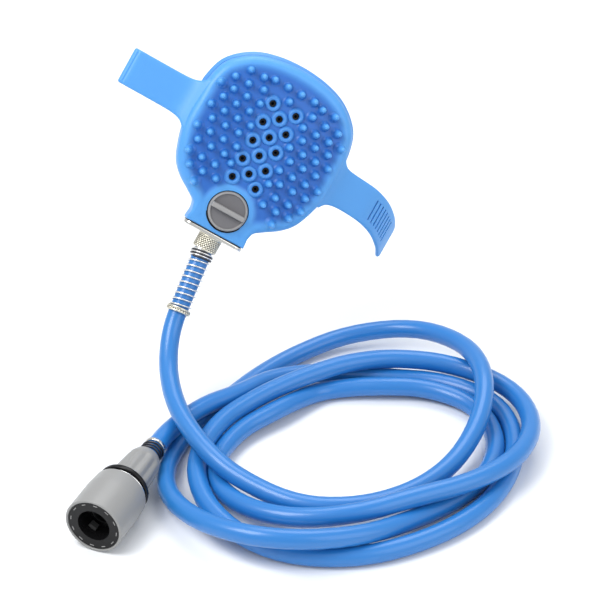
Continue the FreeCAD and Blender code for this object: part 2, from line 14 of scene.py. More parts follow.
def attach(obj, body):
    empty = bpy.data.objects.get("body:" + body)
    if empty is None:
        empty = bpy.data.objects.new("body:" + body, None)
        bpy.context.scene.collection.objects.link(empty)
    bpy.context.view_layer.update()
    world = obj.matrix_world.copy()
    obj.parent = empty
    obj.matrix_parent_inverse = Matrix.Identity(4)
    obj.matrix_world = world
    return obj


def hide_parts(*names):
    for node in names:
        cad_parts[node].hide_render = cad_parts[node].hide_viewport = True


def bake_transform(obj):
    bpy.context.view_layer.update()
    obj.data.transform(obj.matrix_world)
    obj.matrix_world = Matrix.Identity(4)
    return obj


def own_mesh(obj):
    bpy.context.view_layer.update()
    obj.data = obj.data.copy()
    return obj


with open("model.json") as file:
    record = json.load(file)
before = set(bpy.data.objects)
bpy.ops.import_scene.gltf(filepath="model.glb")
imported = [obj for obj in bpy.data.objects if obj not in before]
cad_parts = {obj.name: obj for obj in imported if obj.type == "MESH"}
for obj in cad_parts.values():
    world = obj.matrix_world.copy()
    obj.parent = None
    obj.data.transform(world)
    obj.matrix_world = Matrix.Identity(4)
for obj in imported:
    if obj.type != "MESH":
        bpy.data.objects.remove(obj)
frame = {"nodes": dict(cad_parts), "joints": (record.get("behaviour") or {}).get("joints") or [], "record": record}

LOG = logging.getLogger("bath_sprayer")
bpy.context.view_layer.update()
MM = 0.001
BODY = "sprayer"


# ---------------------------------------------------------------- finishes

class Slot(Enum):
    """The record's material slots."""

    SILICONE = "blue_silicone"
    COVER = "blue_plastic"
    GREY = "grey_plastic"
    PALE = "pale_grey_plastic"
    BLACK = "black_plastic"
    WHITE = "white_plastic"
    RUBBER = "black_rubber"
    BRIGHT = "bright_metal"
    KNURLED = "knurled_metal"
    SPRING = "spring_steel"
    DARK = "dark_steel"
    HOSE = "blue_hose"


@dataclass(frozen=True)
class Finish:
    """How one material looks.

    Args:
        colour: the surface colour, as display values from 0 to 255.
        roughness: how wide the highlights spread.
        deep: the painted shade colour, laid on where the mesh's shade attribute is 1.
        metallic: 1 for bare metal.
        shine: how strongly the bare surface reflects, with 0.5 for most plastics.
        coat: a clear glossy layer over the colour.
        scatter: how much light passes under the surface.
        grain: depth of the fine surface texture, in millimetres.
        grain_size: size of the grain's bumps, in millimetres.
        uneven: how much the roughness wanders over the surface.
    """

    colour: tuple[int, int, int]
    roughness: float
    deep: tuple[int, int, int] | None = None
    metallic: float = 0.0
    shine: float = 0.5
    coat: float = 0.0
    scatter: float = 0.0
    grain: float = 0.01
    grain_size: float = 0.6
    uneven: float = 0.05


FINISHES: dict[Slot, Finish] = {
    # the silicone's darker colour is painted shade between the nubs, partly the deeper colour of thin silicone
    # over the body
    Slot.SILICONE: Finish((76, 148, 214), 0.42, deep=(32, 98, 180), scatter=0.12, grain=0.012),
    Slot.COVER: Finish((74, 140, 210), 0.4, grain=0.02, grain_size=0.8),
    # the darker grey is painted shade on the button's disc round its ridge
    Slot.GREY: Finish((142, 141, 140), 0.42, deep=(102, 101, 104), grain=0.012),
    Slot.PALE: Finish((139, 139, 138), 0.4, grain=0.008),
    Slot.BLACK: Finish((18, 18, 19), 0.28, shine=0.25, grain=0.006),
    Slot.WHITE: Finish((224, 225, 224), 0.4),
    Slot.RUBBER: Finish((24, 24, 25), 0.6, grain=0.02),
    Slot.BRIGHT: Finish((214, 212, 206), 0.2, metallic=1.0, grain=0.002),
    # the dark colour is painted shade in the knurl's grooves
    Slot.KNURLED: Finish((220, 215, 198), 0.32, deep=(62, 59, 50), metallic=1.0, grain=0.004),
    Slot.SPRING: Finish((232, 232, 230), 0.26, metallic=1.0, grain=0.003),
    Slot.DARK: Finish((74, 74, 78), 0.34, metallic=1.0, grain=0.004),
    Slot.HOSE: Finish((36, 116, 188), 0.34, coat=0.2, scatter=0.06, grain=0.004, grain_size=1.4),
}


def linear(colour: Sequence[int]) -> tuple[float, float, float, float]:
    """Turns a display colour into the linear value that shaders take.

    Args:
        colour: red, green and blue, from 0 to 255.

    Returns:
        Linear red, green, blue and an opaque alpha.
    """
    parts = []
    for value in colour:
        share = value / 255
        parts.append(share / 12.92 if share <= 0.04045 else ((share + 0.055) / 1.055) ** 2.4)
    return (*parts, 1.0)


class Paintbox:
    """Makes each finish's material once."""

    COAT_ROUGHNESS = 0.12
    SCATTER_COLOURS = (0.3, 0.6, 1.0)
    SCATTER_REACH = 2.5 * MM
    UNEVEN_SCALE = 45.0
    UNEVEN_DETAIL = 3.0
    GRAIN_DETAIL = 2.0
    GRAIN_STRENGTH = 0.6

    def __init__(self) -> None:
        """Starts with no material made."""
        self.made: dict[Slot, bpy.types.Material] = {}

    def get(self, slot: Slot) -> bpy.types.Material:
        """The material of a slot."""
        if slot not in self.made:
            self.made[slot] = self.make(slot, FINISHES[slot])
        return self.made[slot]

    def make(self, slot: Slot, finish: Finish) -> bpy.types.Material:
        """Builds a procedural material on object coordinates.

        Args:
            slot: the slot that names the material.
            finish: how it looks.

        Returns:
            The new material.
        """
        material = bpy.data.materials.new(f"{slot.value}_look")
        material.use_nodes = True
        tree = material.node_tree
        tree.nodes.clear()
        output = tree.nodes.new("ShaderNodeOutputMaterial")
        shader = tree.nodes.new("ShaderNodeBsdfPrincipled")
        tree.links.new(shader.outputs["BSDF"], output.inputs["Surface"])
        shader.inputs["Metallic"].default_value = finish.metallic
        shader.inputs["Specular IOR Level"].default_value = finish.shine
        shader.inputs["Coat Weight"].default_value = finish.coat
        shader.inputs["Coat Roughness"].default_value = self.COAT_ROUGHNESS
        shader.inputs["Subsurface Weight"].default_value = finish.scatter
        shader.inputs["Subsurface Radius"].default_value = self.SCATTER_COLOURS
        shader.inputs["Subsurface Scale"].default_value = self.SCATTER_REACH
        place = tree.nodes.new("ShaderNodeTexCoord")
        self.roughness(tree, shader, place, finish)
        self.grain(tree, shader, place, finish)
        self.colour(tree, shader, finish)
        return material

    def roughness(self, tree: bpy.types.NodeTree, shader: bpy.types.ShaderNode,
                  place: bpy.types.ShaderNode, finish: Finish) -> None:
        """Lets the roughness wander a little over the surface.

        Args:
            tree: the material's nodes.
            shader: the node that takes the roughness.
            place: the node that gives the coordinates.
            finish: how the material looks.
        """
        noise = tree.nodes.new("ShaderNodeTexNoise")
        noise.inputs["Scale"].default_value = self.UNEVEN_SCALE
        noise.inputs["Detail"].default_value = self.UNEVEN_DETAIL
        spread = tree.nodes.new("ShaderNodeMapRange")
        spread.inputs["To Min"].default_value = finish.roughness - finish.uneven
        spread.inputs["To Max"].default_value = finish.roughness + finish.uneven
        tree.links.new(place.outputs["Object"], noise.inputs["Vector"])
        tree.links.new(noise.outputs["Fac"], spread.inputs["Value"])
        tree.links.new(spread.outputs["Result"], shader.inputs["Roughness"])

    def grain(self, tree: bpy.types.NodeTree, shader: bpy.types.ShaderNode,
              place: bpy.types.ShaderNode, finish: Finish) -> None:
        """Adds the fine bumps of the moulded or drawn surface.

        Args:
            tree: the material's nodes.
            shader: the node that takes the bumps.
            place: the node that gives the coordinates.
            finish: how the material looks.
        """
        noise = tree.nodes.new("ShaderNodeTexNoise")
        noise.inputs["Scale"].default_value = 1 / (finish.grain_size * MM)
        noise.inputs["Detail"].default_value = self.GRAIN_DETAIL
        bump = tree.nodes.new("ShaderNodeBump")
        bump.inputs["Strength"].default_value = self.GRAIN_STRENGTH
        bump.inputs["Distance"].default_value = finish.grain * MM
        tree.links.new(place.outputs["Object"], noise.inputs["Vector"])
        tree.links.new(noise.outputs["Fac"], bump.inputs["Height"])
        tree.links.new(bump.outputs["Normal"], shader.inputs["Normal"])

    @staticmethod
    def colour(tree: bpy.types.NodeTree, shader: bpy.types.ShaderNode, finish: Finish) -> None:
        """Sets the colour, with the darker colour of painted shade mixed in by the mesh's shade attribute.

        Args:
            tree: the material's nodes.
            shader: the node that takes the colour.
            finish: how the material looks.
        """
        shader.inputs["Base Color"].default_value = linear(finish.colour)
        if finish.deep is None:
            return
        # painted shade: the mesh's shade attribute mixes the darker colour in where shade falls
        painted_shade = tree.nodes.new("ShaderNodeAttribute")
        painted_shade.attribute_name = "painted_shade"
        mix = tree.nodes.new("ShaderNodeMix")
        mix.data_type = "RGBA"
        for socket in mix.inputs:
            if socket.type == "RGBA" and socket.name in "AB":
                socket.default_value = linear(finish.colour if socket.name == "A" else finish.deep)
        result = [socket for socket in mix.outputs if socket.type == "RGBA"][0]
        tree.links.new(painted_shade.outputs["Fac"], mix.inputs["Factor"])
        tree.links.new(result, shader.inputs["Base Color"])


PAINTS = Paintbox()


# ---------------------------------------------------------------- local frames

class Basis:
    """A local frame in millimetres, laid in the row frame."""

    def __init__(self, turn: Matrix, origin: Vector) -> None:
        """Keeps the matrix from local millimetres to metres."""
        self.matrix = Matrix.Translation(origin) @ turn.to_4x4() @ Matrix.Scale(MM, 4)

    def at(self, *place: float) -> Vector:
        """A local place as a point of the row frame."""
        return self.matrix @ Vector(place)


def joint(name: str) -> dict:
    """One of the record's joints."""
    return next(item for item in frame["joints"] if item["name"] == name)


def mount(name: str) -> dict:
    """One of the record's mounts."""
    return next(item for item in frame["record"]["mounts"] if item["name"] == name)


PALM_PLACE = Vector((0, -25, -15))
SOCKET_PLACE = 23.0
FLOOR_PLACE = Vector((59, -116, -145)) * MM
RELIEF_WAY = Vector((-0.38, -0.58, -0.72)).normalized()


def head_basis() -> Basis:
    """Works out the head's frame from its joints and the palm rest.

    Returns:
        The frame: X across, Y up the head, Z out of its face.
    """
    out = -Vector(joint("button_press")["axis"]).normalized()
    up = Vector(joint("strap_right_bend")["axis"]).normalized()
    turn = Matrix((up.cross(out), up, out)).transposed()
    return Basis(turn, Vector(mount("palm_rest")["pos_m"]) - turn @ PALM_PLACE * MM)


def axis_basis(way: Vector, origin: Vector) -> Basis:
    """A frame whose Z runs along a direction."""
    turn = Vector((0, 0, 1)).rotation_difference(way).to_matrix()
    return Basis(turn, origin)


HEAD = head_basis()
SLIDE_WAY = Vector(joint("sleeve_slide")["axis"]).normalized()
CONNECTOR = axis_basis(SLIDE_WAY, Vector(mount("tap_socket")["pos_m"]) - SLIDE_WAY * SOCKET_PLACE * MM)
FERRULE_LOW = -96.1
DUCT_LEVEL = -4.2
RELIEF = axis_basis(RELIEF_WAY, HEAD.at(0, FERRULE_LOW, DUCT_LEVEL))


# ---------------------------------------------------------------- mesh helpers

def smoothstep(low: float, high: float, value: float) -> float:
    """0 below low, 1 above high and a smooth ramp between."""
    share = min(max((value - low) / (high - low), 0.0), 1.0)
    return share * share * (3 - 2 * share)


CORNER_SHARE = 0.48
"""The most of a side that one corner's rounding may take."""

Pair = tuple[float, float]


def rounded(corners: Sequence[tuple[float, float, float]], steps: int = 5) -> list[Pair]:
    """Rounds the corners of a closed outline.

    Args:
        corners: each corner's two coordinates and its radius.
        steps: the number of short sides in each rounding.

    Returns:
        The outline's points, in order.
    """
    points: list[Pair] = []
    count = len(corners)
    for index, (x, y, radius) in enumerate(corners):
        here = Vector((x, y))
        if radius <= 0:
            points.append((x, y))
            continue
        back = Vector(corners[index - 1][:2]) - here
        ahead = Vector(corners[(index + 1) % count][:2]) - here
        half = back.angle(ahead) / 2
        reach = min(radius / math.tan(half), CORNER_SHARE * min(back.length, ahead.length))
        real = reach * math.tan(half)
        middle = here + (back.normalized() + ahead.normalized()).normalized() * (real / math.sin(half))
        first = here + back.normalized() * reach - middle
        last = here + ahead.normalized() * reach - middle
        for step in range(steps + 1):
            ray = first.lerp(last, step / steps).normalized() * real
            points.append((middle.x + ray.x, middle.y + ray.y))
    return points


def curve_point(a: Vector, b: Vector, c: Vector, d: Vector, t: float) -> Vector:
    """Finds a place on the smooth curve through four points.

    Args:
        a: the point before the stretch.
        b: the stretch's first point.
        c: the stretch's last point.
        d: the point after it.
        t: the share of the way from b to c.

    Returns:
        The place.
    """
    return 0.5 * (2 * b + (c - a) * t + (2 * a - 5 * b + 4 * c - d) * t ** 2
                  + (3 * b - a - 3 * c + d) * t ** 3)


def lathe(profile: Sequence[Pair], segments: int = 96, closed: bool = True) -> bmesh.types.BMesh:
    """Spins a profile round Z.

    Args:
        profile: each point's radius and height.
        segments: the number of steps in the full turn.
        closed: True where the profile's last point joins its first.

    Returns:
        The new mesh.
    """
    bm = bmesh.new()
    verts = [bm.verts.new((radius, 0, height)) for radius, height in profile]
    edges = [bm.edges.new(pair) for pair in zip(verts, verts[1:])]
    if closed:
        edges.append(bm.edges.new((verts[-1], verts[0])))
    bmesh.ops.spin(bm, geom=verts + edges, axis=(0, 0, 1), cent=(0, 0, 0), angle=math.tau,
                   steps=segments, use_merge=True)
    bmesh.ops.remove_doubles(bm, verts=bm.verts, dist=1e-4)
    return bm


def rounded_box(size: Sequence[float], bevel: float, segments: int = 3) -> bmesh.types.BMesh:
    """Makes a box round the origin with every edge rounded.

    Args:
        size: its length along X, Y and Z.
        bevel: how far the rounding reaches from each edge.
        segments: the number of short faces in each rounding.

    Returns:
        The new mesh.
    """
    bm = bmesh.new()
    bmesh.ops.create_cube(bm, size=1.0, matrix=Matrix.Diagonal((*size, 1.0)))
    bmesh.ops.bevel(bm, geom=bm.edges[:], offset=bevel, segments=segments, profile=0.5,
                    affect="EDGES", material=-1)
    return bm


def tube(points: Sequence[Vector], radius: float, segments: int = 12) -> bmesh.types.BMesh:
    """Makes a round wire along a line of points, with flat ends.

    Args:
        points: the wire's middle line.
        radius: the wire's radius.
        segments: the number of sides.

    Returns:
        The new mesh.
    """
    bm = bmesh.new()
    rings = []
    side = (points[1] - points[0]).orthogonal().normalized()
    last = len(points) - 1
    for index, point in enumerate(points):
        way = (points[min(index + 1, last)] - points[max(index - 1, 0)]).normalized()
        side = (side - way * side.dot(way)).normalized()
        other = way.cross(side)
        rings.append([bm.verts.new(point + (side * math.cos(angle) + other * math.sin(angle)) * radius)
                      for angle in (math.tau * step / segments for step in range(segments))])
    for low, high in zip(rings, rings[1:]):
        for step in range(segments):
            after = (step + 1) % segments
            bm.faces.new((low[step], low[after], high[after], high[step]))
    bm.faces.new(rings[0][::-1])
    bm.faces.new(rings[-1])
    return bm


def merge(target: bmesh.types.BMesh, source: bmesh.types.BMesh, place: Matrix) -> None:
    """Adds a copy of one mesh to another.

    Args:
        target: the mesh that grows.
        source: the mesh that is copied.
        place: where the copy goes.
    """
    mesh = bpy.data.meshes.new("part")
    source.to_mesh(mesh)
    mesh.transform(place)
    target.from_mesh(mesh)
    bpy.data.meshes.remove(mesh)


def raw_object(bm: bmesh.types.BMesh, name: str) -> bpy.types.Object:
    """Links a mesh to the scene as it is, and frees it.

    Args:
        bm: the mesh.
        name: the object's name.

    Returns:
        The new object.
    """
    mesh = bpy.data.meshes.new(name)
    bm.to_mesh(mesh)
    bm.free()
    thing = bpy.data.objects.new(name, mesh)
    bpy.context.scene.collection.objects.link(thing)
    return thing


def carve(bm: bmesh.types.BMesh, cutter: bmesh.types.BMesh) -> bmesh.types.BMesh:
    """Takes one mesh away from another.

    Args:
        bm: the mesh that is cut, which is freed.
        cutter: the mesh that is taken away, which is freed.

    Returns:
        What is left.
    """
    base = raw_object(bm, "carved")
    tool = raw_object(cutter, "cutter")
    modifier = base.modifiers.new("carve", "BOOLEAN")
    modifier.operation = "DIFFERENCE"
    modifier.solver = "EXACT"
    modifier.object = tool
    bpy.context.view_layer.update()
    result = base.evaluated_get(bpy.context.evaluated_depsgraph_get()).to_mesh()
    carved = bmesh.new()
    carved.from_mesh(result)
    for thing in (base, tool):
        mesh = thing.data
        bpy.data.objects.remove(thing)
        bpy.data.meshes.remove(mesh)
    return carved


def add_drill(bm: bmesh.types.BMesh, place: tuple[float, float, float], radius: float, depth: float,
              segments: int) -> None:
    """Adds a round cutter that stands along Z.

    Args:
        bm: the mesh of cutters, which grows.
        place: the cutter's middle.
        radius: the hole's radius.
        depth: the cutter's length.
        segments: the number of sides.
    """
    bmesh.ops.create_cone(bm, cap_ends=True, segments=segments, radius1=radius, radius2=radius,
                          depth=depth, matrix=Matrix.Translation(place))


def piece(bm: bmesh.types.BMesh, name: str, basis: Basis, slot: Slot, body: str | None = BODY,
          replaces: Sequence[str] = (), sharp: float = 38.0) -> bpy.types.Object:
    """Turns a local mesh into a finished piece.

    Args:
        bm: the mesh, in the local frame's millimetres.
        name: the piece's name.
        basis: the local frame.
        slot: the material slot.
        body: the CAD body that it rides on, or None for a piece left on no body.
        replaces: the CAD nodes that it stands for.
        sharp: edges that turn by more than this angle stay crisp.

    Returns:
        The new object.
    """
    bm.transform(basis.matrix)
    bmesh.ops.recalc_face_normals(bm, faces=bm.faces)
    for face in bm.faces:
        face.smooth = True
    for edge in bm.edges:
        edge.smooth = len(edge.link_faces) != 2 or edge.calc_face_angle(0.0) < math.radians(sharp)
    thing = raw_object(bm, name)
    thing.data.materials.append(PAINTS.get(slot))
    if body is not None:
        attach(thing, body)
    if replaces:
        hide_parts(*replaces)
    LOG.info("made %s", name)
    return thing


# ---------------------------------------------------------------- the head

@dataclass(frozen=True)
class HeadSizes:
    """The head's sizes and places, in millimetres.

    Args:
        crown: the outline's top.
        neck: the outline's foot.
        neck_half: half the neck's width.
        neck_flare: how much wider the neck's foot is, each side.
        neck_at: where the neck's sides start.
        stretch: how much the half widths are widened.
        middle: the domes' middle, along the head.
        front_radius: the front dome's radius.
        front_top: the front dome's highest place.
        back_radius: the back dome's radius.
        back_low: the back dome's lowest place.
        joint: where the face meets the back cover.
        back_joint: where the back cover's wall ends, out from the middle.
        wall: the skins' thickness.
        dish: how deep the field of nubs is sunk.
        rim_inner: how far in from the outline the field is level.
        rim_outer: how far in from the outline it starts to sink.
        ring_bore: a jet hole's radius.
        ring_reach: how far round a jet the ring's share of painted shade reaches.
        nub_step: the distance between nubs in a row.
        jet_pitch: the distance between jets in a column.
        jet_column: how far the outer columns of jets stand from the middle.
        jet_top: the outer columns' first jet.
        jet_middle_top: the middle column's first jet.
        button_place: the button's middle, along the head.
        button_hole: the radius of its hole.
        button_clear: the radius round the button that isn't sunk.
        button_blend: the radius where the field is level again.
    """

    crown: float = 31.8
    neck: float = -84.3
    neck_half: float = 20.0
    neck_flare: float = 0.6
    neck_at: float = -78.0
    stretch: float = 1.008
    middle: float = -30.0
    front_radius: float = 400.0
    front_top: float = 8.0
    back_radius: float = 600.0
    back_low: float = -15.0
    joint: float = -9.0
    back_joint: float = 9.05
    wall: float = 2.0
    dish: float = 0.9
    rim_inner: float = 9.6
    rim_outer: float = 3.8
    ring_bore: float = 2.2
    ring_reach: float = 5.2
    nub_step: float = 9.3
    jet_pitch: float = 13.0
    jet_column: float = 8.3
    jet_top: float = 4.5
    jet_middle_top: float = -2.1
    button_place: float = -68.0
    button_hole: float = 13.25
    button_clear: float = 15.5
    button_blend: float = 19.0


class HeadOutline:
    """The head's outline and the lines that lead in from it."""

    HALF_WIDTHS = ((30, 18), (24.5, 33), (13.5, 45.2), (0, 49.8), (-12, 50.4), (-30, 50.4),
                   (-42, 48), (-55, 43), (-63, 36), (-69, 27), (-73, 21.5))
    STEPS = 8
    SIDE_STEPS = 6
    FOOT_STEPS = 12
    DENSE_STEPS = 12
    SPINE_LOW = -72
    SPINE_LONG = 75
    SPINE_WIDE = 0.1

    def __init__(self, sizes: HeadSizes) -> None:
        """Makes the outline and a fine copy of it, which measures how deep a place lies.

        Args:
            sizes: the head's sizes.
        """
        self.sizes = sizes
        self.points = self.closed_line()
        dense = KDTree(len(self.points) * self.DENSE_STEPS)
        index = 0
        for start, end in zip(self.points, self.points[1:] + self.points[:1]):
            for step in range(self.DENSE_STEPS):
                place = start.lerp(end, step / self.DENSE_STEPS)
                dense.insert((place.x, place.y, 0), index)
                index += 1
        dense.balance()
        self.dense = dense

    def closed_line(self) -> list[Vector]:
        """Draws the outline, even on both sides.

        Returns:
            Its points, from the crown round by the right side.
        """
        sizes = self.sizes
        marks = [Vector((half * sizes.stretch, place)) for place, half in self.HALF_WIDTHS]
        marks.append(Vector((sizes.neck_half, sizes.neck_at)))
        first = Vector((0, sizes.crown))
        before = Vector((-marks[0].x, marks[0].y))
        chain = [before, first, *marks, marks[-1] + (marks[-1] - marks[-2])]
        right: list[Vector] = []
        for a, b, c, d in zip(chain, chain[1:], chain[2:], chain[3:]):
            right += [curve_point(a, b, c, d, step / self.STEPS) for step in range(self.STEPS)]
        corner = Vector((sizes.neck_half + sizes.neck_flare, sizes.neck))
        end = Vector((0, sizes.neck))
        right += [marks[-1].lerp(corner, step / self.SIDE_STEPS) for step in range(self.SIDE_STEPS)]
        right += [corner.lerp(end, step / self.FOOT_STEPS) for step in range(self.FOOT_STEPS)]
        left = [Vector((-point.x, point.y)) for point in right[:0:-1]]
        return [*right, end, *left]

    def depth(self, x: float, y: float) -> float:
        """How far a place lies inside the outline."""
        return self.dense.find((x, y, 0))[2]

    def spine(self, point: Vector) -> Vector:
        """Finds where the line in from an outline point ends.

        Args:
            point: a point of the outline.

        Returns:
            A place near the head's middle line.
        """
        sizes = self.sizes
        share = (point.y - sizes.neck) / (sizes.crown - sizes.neck)
        return Vector((point.x * self.SPINE_WIDE, self.SPINE_LOW + self.SPINE_LONG * share))


class Shell:
    """One half of the head's skin: nested rings from the rim to the middle."""

    DEPTHS = (0, 0.12, 0.35, 0.7, 1.15, 1.7, 2.35, 3.1, 4.0, 5.0, 6.0, 7.0, 8.0, 9.0, 10.0, 11.2, 12.6)
    INNER_RINGS = 14
    DEEPEST_SHARE = 0.7

    def __init__(self, outline: HeadOutline, level: Callable[[float, float], float],
                 rounding: Callable[[float], float], base: float, wall: float) -> None:
        """Keeps what the skin is made from.

        Args:
            outline: the head's outline.
            level: the outer surface's height over a place.
            rounding: the rim's radius at a place along the head.
            base: the height where the side wall ends.
            wall: the skin's thickness.
        """
        self.outline = outline
        self.level = level
        self.rounding = rounding
        self.base = base
        self.wall = wall

    def height(self, x: float, y: float) -> float:
        """Works out the surface's height with the rim rounded over.

        Args:
            x: the place across the head.
            y: the place along it.

        Returns:
            The height.
        """
        depth = self.outline.depth(x, y)
        radius = self.rounding(y)
        fall = 0.0
        if depth < radius:
            fall = radius - math.sqrt(max(radius ** 2 - (radius - depth) ** 2, 0.0))
        return self.level(x, y) - fall

    def build(self) -> bmesh.types.BMesh:
        """Makes the closed skin.

        Returns:
            The new mesh.
        """
        bm = bmesh.new()
        line = self.outline.points
        rings = [[bm.verts.new((point.x, point.y, self.base)) for point in line]]
        for depth in self.DEPTHS:
            rings.append([self.inner(bm, point, depth, 0.0) for point in line])
        for step in range(1, self.INNER_RINGS + 1):
            share = step / self.INNER_RINGS
            rings.append([self.inner(bm, point, self.DEPTHS[-1], share) for point in line])
        count = len(line)
        for outer, inner in zip(rings, rings[1:]):
            for index in range(count):
                after = (index + 1) % count
                bm.faces.new((outer[index], outer[after], inner[after], inner[index]))
        last = rings[-1]
        for index in range(count // 2):
            corners = list(dict.fromkeys(
                (last[index], last[index + 1], last[-index - 1], last[-index % count])))
            if len(corners) > 2:
                bm.faces.new(corners)
        bmesh.ops.recalc_face_normals(bm, faces=bm.faces)
        middle = max(bm.faces, key=lambda face: face.calc_center_median().z)
        if middle.normal.z < 0:
            bmesh.ops.reverse_faces(bm, faces=bm.faces)
        self.thicken(bm, rings[0])
        return bm

    def thicken(self, bm: bmesh.types.BMesh, edge: list[bmesh.types.BMVert]) -> None:
        """Adds the skin's inner side, joined to the outer one along its open edge.

        Args:
            bm: the outer side, which grows.
            edge: the vertices of its open edge, in order.
        """
        bm.normal_update()
        skin = bm.faces[:]
        twins = {vert: bm.verts.new(vert.co - vert.normal * self.wall) for vert in bm.verts[:]}
        for face in skin:
            bm.faces.new([twins[vert] for vert in reversed(face.verts)])
        for start, end in zip(edge, edge[1:] + edge[:1]):
            bm.faces.new((start, end, twins[end], twins[start]))
        bmesh.ops.recalc_face_normals(bm, faces=bm.faces)

    def inner(self, bm: bmesh.types.BMesh, point: Vector, depth: float, share: float) -> bmesh.types.BMVert:
        """Adds a vertex on the way from the outline to the spine.

        Args:
            bm: the mesh.
            point: the outline's point.
            depth: how far in from it the ring lies.
            share: the share of the rest of the way to the spine.

        Returns:
            The new vertex.
        """
        spine = self.outline.spine(point)
        run = (spine - point).length
        start = point.lerp(spine, min(depth / run, self.DEEPEST_SHARE * depth / self.DEPTHS[-1]))
        place = start.lerp(spine, share)
        return bm.verts.new((place.x, place.y, self.height(place.x, place.y)))


